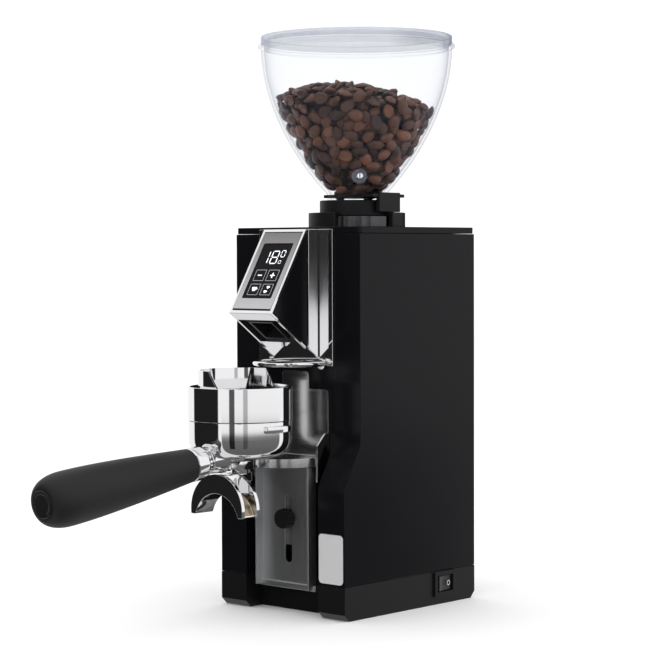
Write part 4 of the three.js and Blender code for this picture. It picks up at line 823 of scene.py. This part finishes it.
# ---- Wire bail -------------------------------------------------------------------------------
# A bent wire in bright chrome, with a small collar at each end where it enters the neck's
# plate. It holds the back of the funnel down.
low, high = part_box("bail")
wire_radius, straight = 2 * mm, 4 * mm
collar_radius, collar_thick = 4 * mm, 1.6 * mm
bail_z = middle("bail").z
bail_reach = (high.x - low.x) / 2 - collar_radius
bail_corner = high.y - straight
bm = bmesh.new()
section = bmesh.ops.create_circle(bm, cap_ends=False, segments=20, radius=wire_radius)["verts"]
bmesh.ops.rotate(bm, verts=section, matrix=Matrix.Rotation(math.pi / 2, 3, "X"), cent=(0, 0, 0))
bmesh.ops.translate(bm, verts=section, vec=(bail_reach, high.y, bail_z))
grown = bmesh.ops.extrude_edge_only(bm, edges=list(bm.edges))["geom"]
ring_verts = kind_of(grown, bmesh.types.BMVert)
bmesh.ops.translate(bm, verts=ring_verts, vec=(0, bail_corner - high.y, 0))
ring_edges = [e for e in kind_of(grown, bmesh.types.BMEdge) if all(v in ring_verts for v in e.verts)]
last = bmesh.ops.spin(bm, geom=ring_verts + ring_edges, cent=(0, bail_corner, 0), axis=(0, 0, 1),
                      angle=-math.pi, steps=48)["geom_last"]
grown = bmesh.ops.extrude_edge_only(bm, edges=kind_of(last, bmesh.types.BMEdge))["geom"]
bmesh.ops.translate(bm, verts=kind_of(grown, bmesh.types.BMVert), vec=(0, high.y - bail_corner, 0))
bmesh.ops.holes_fill(bm, edges=[e for e in bm.edges if e.is_boundary], sides=0)
for side in (-1, 1):
    made = bmesh.ops.create_cone(bm, cap_ends=True, segments=32, radius1=collar_radius,
                                 radius2=collar_radius, depth=collar_thick)["verts"]
    bmesh.ops.rotate(bm, verts=made, matrix=Matrix.Rotation(math.pi / 2, 3, "X"), cent=(0, 0, 0))
    bmesh.ops.translate(bm, verts=made, vec=(side * bail_reach, high.y - collar_thick / 2, bail_z))
bmesh.ops.recalc_face_normals(bm, faces=bm.faces)
piece("wire_bail", bm, "frame", chrome, ["bail"])

# ---- Portafilter bowl ------------------------------------------------------------------------
# Cast brass, turned and chromed, with two lugs and a boss for the handle. The pressed steel
# basket hangs in it by its rim.
filter_axis = middle("filter_basket")
bowl_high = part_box("filter_basket")[1].z - 1.3 * mm
bowl_low = bowl_high - 28.8 * mm
bowl_radius_outside, bowl_wall = 37.5 * mm, 2.6 * mm
side_foot = Vector((bowl_radius_outside, bowl_high - 12 * mm, 0))
under = Vector((20 * mm, bowl_low + 1.6 * mm, 0))
under_pull, side_pull = Vector((13, 0.6, 0)) * mm, Vector((0, 11, 0)) * mm
bend = interpolate_bezier(under, under + under_pull, side_foot - side_pull, side_foot, 14)
outside_bowl = [(0, bowl_low), (13 * mm, bowl_low), (16.5 * mm, bowl_low + 0.6 * mm)]
outside_bowl += [(p.x, p.y) for p in bend]
outside_bowl.append((bowl_radius_outside, bowl_high))
inside_bowl = [(max(r, 0), z) for r, z in inset_line(outside_bowl, bowl_wall)]
inside_bowl[-1] = (inside_bowl[-1][0], bowl_high)
inside_bowl[0] = (0, bowl_low + bowl_wall)
bm = lathed(outside_bowl + inside_bowl[::-1], filter_axis, closed=False)
ease(bm, 0.4 * mm, 2, 50)
piece("portafilter_bowl", bm, "portafilter", chrome, ["portafilter_body"])

lug_top, lug_height = bowl_high - 2.5 * mm, 5 * mm
lug_inner, lug_outer, lug_sweep = 36.8 * mm, 41 * mm, math.radians(34)
for side, turn in (("left", math.pi), ("right", 0)):
    bm = bmesh.new()
    corners = [(lug_inner, lug_top - lug_height), (lug_outer, lug_top - lug_height),
               (lug_outer, lug_top), (lug_inner, lug_top)]
    verts = [bm.verts.new((r, 0, z)) for r, z in corners]
    face = bm.faces.new(verts)
    bmesh.ops.rotate(bm, verts=verts, cent=(0, 0, 0), matrix=Matrix.Rotation(-lug_sweep / 2, 3, "Z"))
    bmesh.ops.spin(bm, geom=[face, *face.edges, *verts], cent=(0, 0, 0), axis=(0, 0, 1),
                   angle=lug_sweep, steps=12)
    bmesh.ops.recalc_face_normals(bm, faces=bm.faces)
    ease(bm, 0.8 * mm, 3, 50)
    bmesh.ops.rotate(bm, verts=bm.verts, cent=(0, 0, 0), matrix=Matrix.Rotation(turn, 3, "Z"))
    bmesh.ops.translate(bm, verts=bm.verts, vec=(filter_axis.x, filter_axis.y, 0))
    piece(f"portafilter_lug_{side}", bm, "portafilter", chrome)

steel_sheet = Finish("pressed_steel", {"Metallic": 1.0})
press = steel_sheet.noise(700, 2)
steel_sheet.tone(press, (0.5, 0.5, 0.49), (0.66, 0.66, 0.65), 0.18 + 0.1 * press)
low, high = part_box("filter_basket")
rim, basket = (high.x - low.x) / 2, 30.4 * mm
sheet = 1 * mm
bm = lathed([(0, low.z), (basket - 3 * mm, low.z), (basket - 0.8 * mm, low.z + 0.9 * mm),
             (basket, low.z + 3 * mm), (basket, high.z - sheet), (rim, high.z - sheet), (rim, high.z),
             (basket - sheet, high.z), (basket - sheet, low.z + 3.4 * mm),
             (basket - 3.4 * mm, low.z + sheet), (0, low.z + sheet)], filter_axis, closed=False)
ease(bm, 0.3 * mm, 2, 50)
piece("basket", bm, "portafilter", steel_sheet, ["filter_basket"])

# ---- Dosing funnel ---------------------------------------------------------------------------
# A chromed ring that sits on the basket's rim and opens in a shallow cone. A thin wall stands
# on its left half and keeps the coffee in.
low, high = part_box("dosing_funnel")
funnel_radius, funnel_bore, funnel_lip = (high.x - low.x) / 2, 29.5 * mm, 1.3 * mm
funnel_ring_top = low.z + 24.1 * mm
cone_foot = funnel_ring_top - 7.5 * mm
recess_radius, recess_top = 35.3 * mm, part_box("filter_basket")[1].z + 0.3 * mm
bm = lathed([(recess_radius, low.z), (funnel_radius, low.z), (funnel_radius, funnel_ring_top),
             (funnel_radius - funnel_lip, funnel_ring_top), (funnel_bore, cone_foot),
             (funnel_bore, recess_top), (recess_radius, recess_top)], filter_axis, steps=128)
ease(bm, 0.35 * mm, 3, 30)
piece("funnel_ring", bm, "funnel", chrome, ["dosing_funnel"])

shield_wall, shield_foot = 1.5 * mm, cone_foot - 2 * mm
shield_half = shield_wall / 2
shield_inner, shield_outer = funnel_bore - shield_half, funnel_bore + shield_half
bm = lathed([(shield_inner, shield_foot), (shield_outer, shield_foot), (shield_outer, high.z),
             (shield_inner, high.z)], filter_axis, steps=128)
cut_top, cut_slant, cut_margin = -2.6 * mm, 15 * mm, 1 * mm
slant = Vector((high.z + cut_margin - shield_foot + cut_margin, 0, cut_slant)).normalized()
bmesh.ops.bisect_plane(bm, geom=[*bm.verts, *bm.edges, *bm.faces], plane_no=slant, clear_outer=True,
                       plane_co=(cut_top, 0, high.z + cut_margin))
bmesh.ops.holes_fill(bm, edges=[e for e in bm.edges if e.is_boundary], sides=0)
bmesh.ops.recalc_face_normals(bm, faces=bm.faces)
ease(bm, 0.3 * mm, 2, 50)
piece("funnel_shield", bm, "funnel", chrome)

# ---- Handle ----------------------------------------------------------------------------------
# A soft black grip is moulded over a steel core. A chromed ferrule joins it to the bowl's
# boss, and a disc closes its end.
ferrule_middle, cap_middle = middle("handle_ferrule"), middle("handle_cap")
along_handle = (cap_middle - ferrule_middle).normalized()
handle_turn = along_handle.to_track_quat("Z", "Y").to_matrix().to_4x4()


def reach_of(node):
    """How far along the handle a node starts and ends, counted from the ferrule's middle."""
    spans = [(v.co - ferrule_middle).dot(along_handle) for v in frame["nodes"][node].data.vertices]
    return min(spans), max(spans)


def on_handle(profile):
    """A profile of (radius, reach) pairs, turned about the handle's line."""
    bm = lathed(profile, (0, 0), 64, closed=False)
    bmesh.ops.transform(bm, matrix=Matrix.Translation(ferrule_middle) @ handle_turn, verts=bm.verts)
    return bm


start, end = reach_of("handle_ferrule")
ferrule_radius, ferrule_neck = 12.2 * mm, 9.8 * mm
bm = on_handle([(0, start), (ferrule_neck, start), (ferrule_neck, start + 3 * mm),
                (ferrule_radius - 0.4 * mm, start + 4 * mm), (ferrule_radius, start + 6 * mm),
                (ferrule_radius, end - 0.8 * mm), (ferrule_radius - 0.8 * mm, end), (0, end)])
ease(bm, 0.3 * mm, 2, 25)
piece("ferrule", bm, "portafilter", chrome, ["handle_ferrule"])

boss_end = start - 0.3 * mm
boss_start, boss_radius = boss_end - 16 * mm, 10 * mm
bm = on_handle([(0, boss_start), (11.6 * mm, boss_start), (9.6 * mm, boss_end - 4 * mm),
                (9.4 * mm, boss_end - 2.2 * mm), (boss_radius, boss_end - 1.6 * mm),
                (boss_radius, boss_end), (0, boss_end)])
ease(bm, 0.3 * mm, 2, 25)
piece("handle_boss", bm, "portafilter", chrome)

soft_grip = Finish("soft_grip", {"Specular IOR Level": 0.28})
leather_grain = soft_grip.noise(1900, 4)
rub = soft_grip.noise(14, 2)
soft_grip.tone(rub, (0.008, 0.008, 0.0085), (0.013, 0.013, 0.014), 0.46 + 0.14 * leather_grain)
soft_grip.bump(leather_grain, 0.05 * mm, 0.5)
start, end = reach_of("handle_grip")
thin = Vector((12 * mm, start, 0))
widest = Vector((18.8 * mm, end - 20 * mm, 0))
tail = Vector((10.4 * mm, end, 0))
thin_pull, widest_pull = Vector((2.2, 26, 0)) * mm, Vector((0, 34, 0)) * mm
round_pull, tail_pull = Vector((0, 12.5, 0)) * mm, Vector((4.6, -0.4, 0)) * mm
swell = interpolate_bezier(thin, thin + thin_pull, widest - widest_pull, widest, 24)
round_end = interpolate_bezier(widest, widest + round_pull, tail + tail_pull, tail, 14)
cap_start, cap_end = reach_of("handle_cap")
seat, seat_floor = 9.9 * mm, cap_start - 0.3 * mm
bm = on_handle([(0, start), *[(p.x, p.y) for p in swell], *[(p.x, p.y) for p in round_end[1:]],
                (seat, end), (seat, seat_floor), (0, seat_floor)])
piece("grip", bm, "portafilter", soft_grip, ["handle_grip"])
cap_radius, dish = 9.6 * mm, cap_end - 0.4 * mm
bm = on_handle([(0, cap_start), (cap_radius, cap_start), (cap_radius, cap_end - 0.6 * mm),
                (9 * mm, cap_end), (7.6 * mm, cap_end), (6.8 * mm, dish), (0, dish)])
ease(bm, 0.15 * mm, 2, 25)
piece("grip_cap", bm, "portafilter", gloss_black, ["handle_cap"])

# ---- Double spout ----------------------------------------------------------------------------
# A chromed crescent under the bowl, screwed on with a nut. Two open channels run down its
# outer sides to the tips.
# The channels' floors are tinted brown, in patches.
brown_tint = Finish("brown_tinted_chrome", {"Metallic": 1.0})
brown_patches = brown_tint.noise(260, 4)
brown_tint.tone(brown_patches, (0.2, 0.13, 0.06), (0.5, 0.42, 0.3), 0.12 + 0.2 * brown_patches)
low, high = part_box("double_spout")
spout_half, channel_half = 9 * mm, 6 * mm
spout_y = low.y + spout_half
opening_start, opening_length, floor_thick = 8 * mm, 5 * mm, 1.8 * mm
arch_outer, arch_inner, arch_rise, arch_tip = 26 * mm, 22.2 * mm, 10.2 * mm, 4 * mm
outer_z = low.z + arch_tip
inner_z = outer_z - arch_rise
outer_start = -math.asin(arch_tip / arch_outer)
inner_start = math.asin((arch_rise - arch_tip) / arch_inner)
arch_steps = 64
stations = []
for i in range(arch_steps + 1):
    share = i / arch_steps
    outer_turn = outer_start + (math.pi - 2 * outer_start) * share
    inner_turn = inner_start + (math.pi - 2 * inner_start) * share
    over = Vector((arch_outer * math.cos(outer_turn), 0, outer_z + arch_outer * math.sin(outer_turn)))
    under = Vector((arch_inner * math.cos(inner_turn), 0, inner_z + arch_inner * math.sin(inner_turn)))
    opened = min(1, max(0, (abs(over.x) - opening_start) / opening_length))
    floor = over.lerp(under + (over - under).normalized() * floor_thick, opened ** 0.5)
    stations.append((over, floor, under))


def swept(rows):
    """A closed bar through rows of points."""
    bm = bmesh.new()
    rings = [[bm.verts.new(p) for p in row] for row in rows]
    for ring, following in zip(rings, rings[1:]):
        for i in range(len(ring)):
            j = (i + 1) % len(ring)
            bm.faces.new((ring[i], ring[j], following[j], following[i]))
    for ring in (rings[0], rings[-1]):
        bm.faces.new(ring)
    bmesh.ops.recalc_face_normals(bm, faces=bm.faces)
    return bm


def at_depth(point, depth):
    """A station's point, moved a depth forward or back from the spout's middle."""
    return Vector((point.x, spout_y + depth, point.z))


floor_half = channel_half - 0.6 * mm
bm = swept([[at_depth(over, -spout_half), at_depth(over, -channel_half), at_depth(floor, -floor_half),
             at_depth(floor, floor_half), at_depth(over, channel_half), at_depth(over, spout_half),
             at_depth(under, spout_half), at_depth(under, -spout_half)]
            for over, floor, under in stations])
ease(bm, 0.8 * mm, 3, 45)
piece("spout_crescent", bm, "portafilter", chrome, ["double_spout"])

# A thin brown-tinted layer lies on each channel's floor.
film_thick, film_edge = 0.12 * mm, channel_half - 0.9 * mm
for side, span in (("right", stations[1:20]), ("left", stations[-20:-1])):
    rows = []
    for over, floor, under in span:
        lifted = floor + (over - under).normalized() * film_thick
        rows.append([at_depth(lifted, -film_edge), at_depth(lifted, film_edge),
                     at_depth(floor, film_edge), at_depth(floor, -film_edge)])
    piece(f"spout_channel_{side}", swept(rows), "portafilter", brown_tint)

# The nut screws on under the bowl, and a stem and a bridge carry the crescent from it.
nut_radius, nut_height, spout_neck = 10 * mm, 6.4 * mm, 2 * mm
bm = bmesh.new()
bmesh.ops.create_cone(bm, cap_ends=True, segments=6, radius1=nut_radius, radius2=nut_radius, depth=nut_height)
ease(bm, 0.6 * mm, 2)
bmesh.ops.translate(bm, verts=bm.verts, vec=(filter_axis.x, filter_axis.y, high.z - nut_height / 2))
piece("spout_nut", bm, "portafilter", chrome)
stem_radius = 7 * mm
stem_foot, stem_top = high.z - nut_height - spout_neck - 4 * mm, high.z - nut_height + 0.2 * mm
bm = lathed([(0, stem_foot), (stem_radius, stem_foot), (stem_radius, stem_top), (0, stem_top)],
            filter_axis, 48, closed=False)
piece("spout_stem", bm, "portafilter", chrome)
bridge_wide, bridge_tall = 14 * mm, 8 * mm
bridge_top = high.z - nut_height - spout_neck + 0.5 * mm
bridge_back = filter_axis.y + 6 * mm
bridge_middle = (0, (bridge_back + spout_y) / 2, bridge_top - bridge_tall / 2)
bm = block((bridge_wide, bridge_back - spout_y, bridge_tall), bridge_middle)
ease(bm, 2 * mm, 5)
piece("spout_bridge", bm, "portafilter", chrome)

# ---- Weighing fork ---------------------------------------------------------------------------
# Folded stainless sheet: a polished back with two cheeks and a rolled shelf that carries the
# portafilter, on a brushed slide that a knurled knob clamps to the load arm.
polished_sheet = Finish("polished_sheet", {"Metallic": 1.0})
buff = polished_sheet.noise(900, 2, (0.04, 1, 1))
polished_sheet.tone(buff, (0.56, 0.56, 0.56), (0.7, 0.7, 0.7), 0.12 + 0.1 * buff)
brushed_sheet = Finish("brushed_sheet", {"Metallic": 1.0})
rub_lines = brushed_sheet.noise(1500, 3, (1, 1, 0.02))
cloud = brushed_sheet.noise(22, 3)
brushed_sheet.tone(cloud, (0.6, 0.61, 0.63), (0.8, 0.8, 0.8), 0.38 + 0.16 * rub_lines)
brushed_sheet.bump(rub_lines, 0.02 * mm, 0.3)
eased("fork_cradle", 0.5 * mm, polished_sheet, segments=2, sharper_than=35)
eased("fork_slide", 0.4 * mm, brushed_sheet, segments=2)
eased("clamp_knob", 0.25 * mm, moulded_black, segments=2, sharper_than=50)
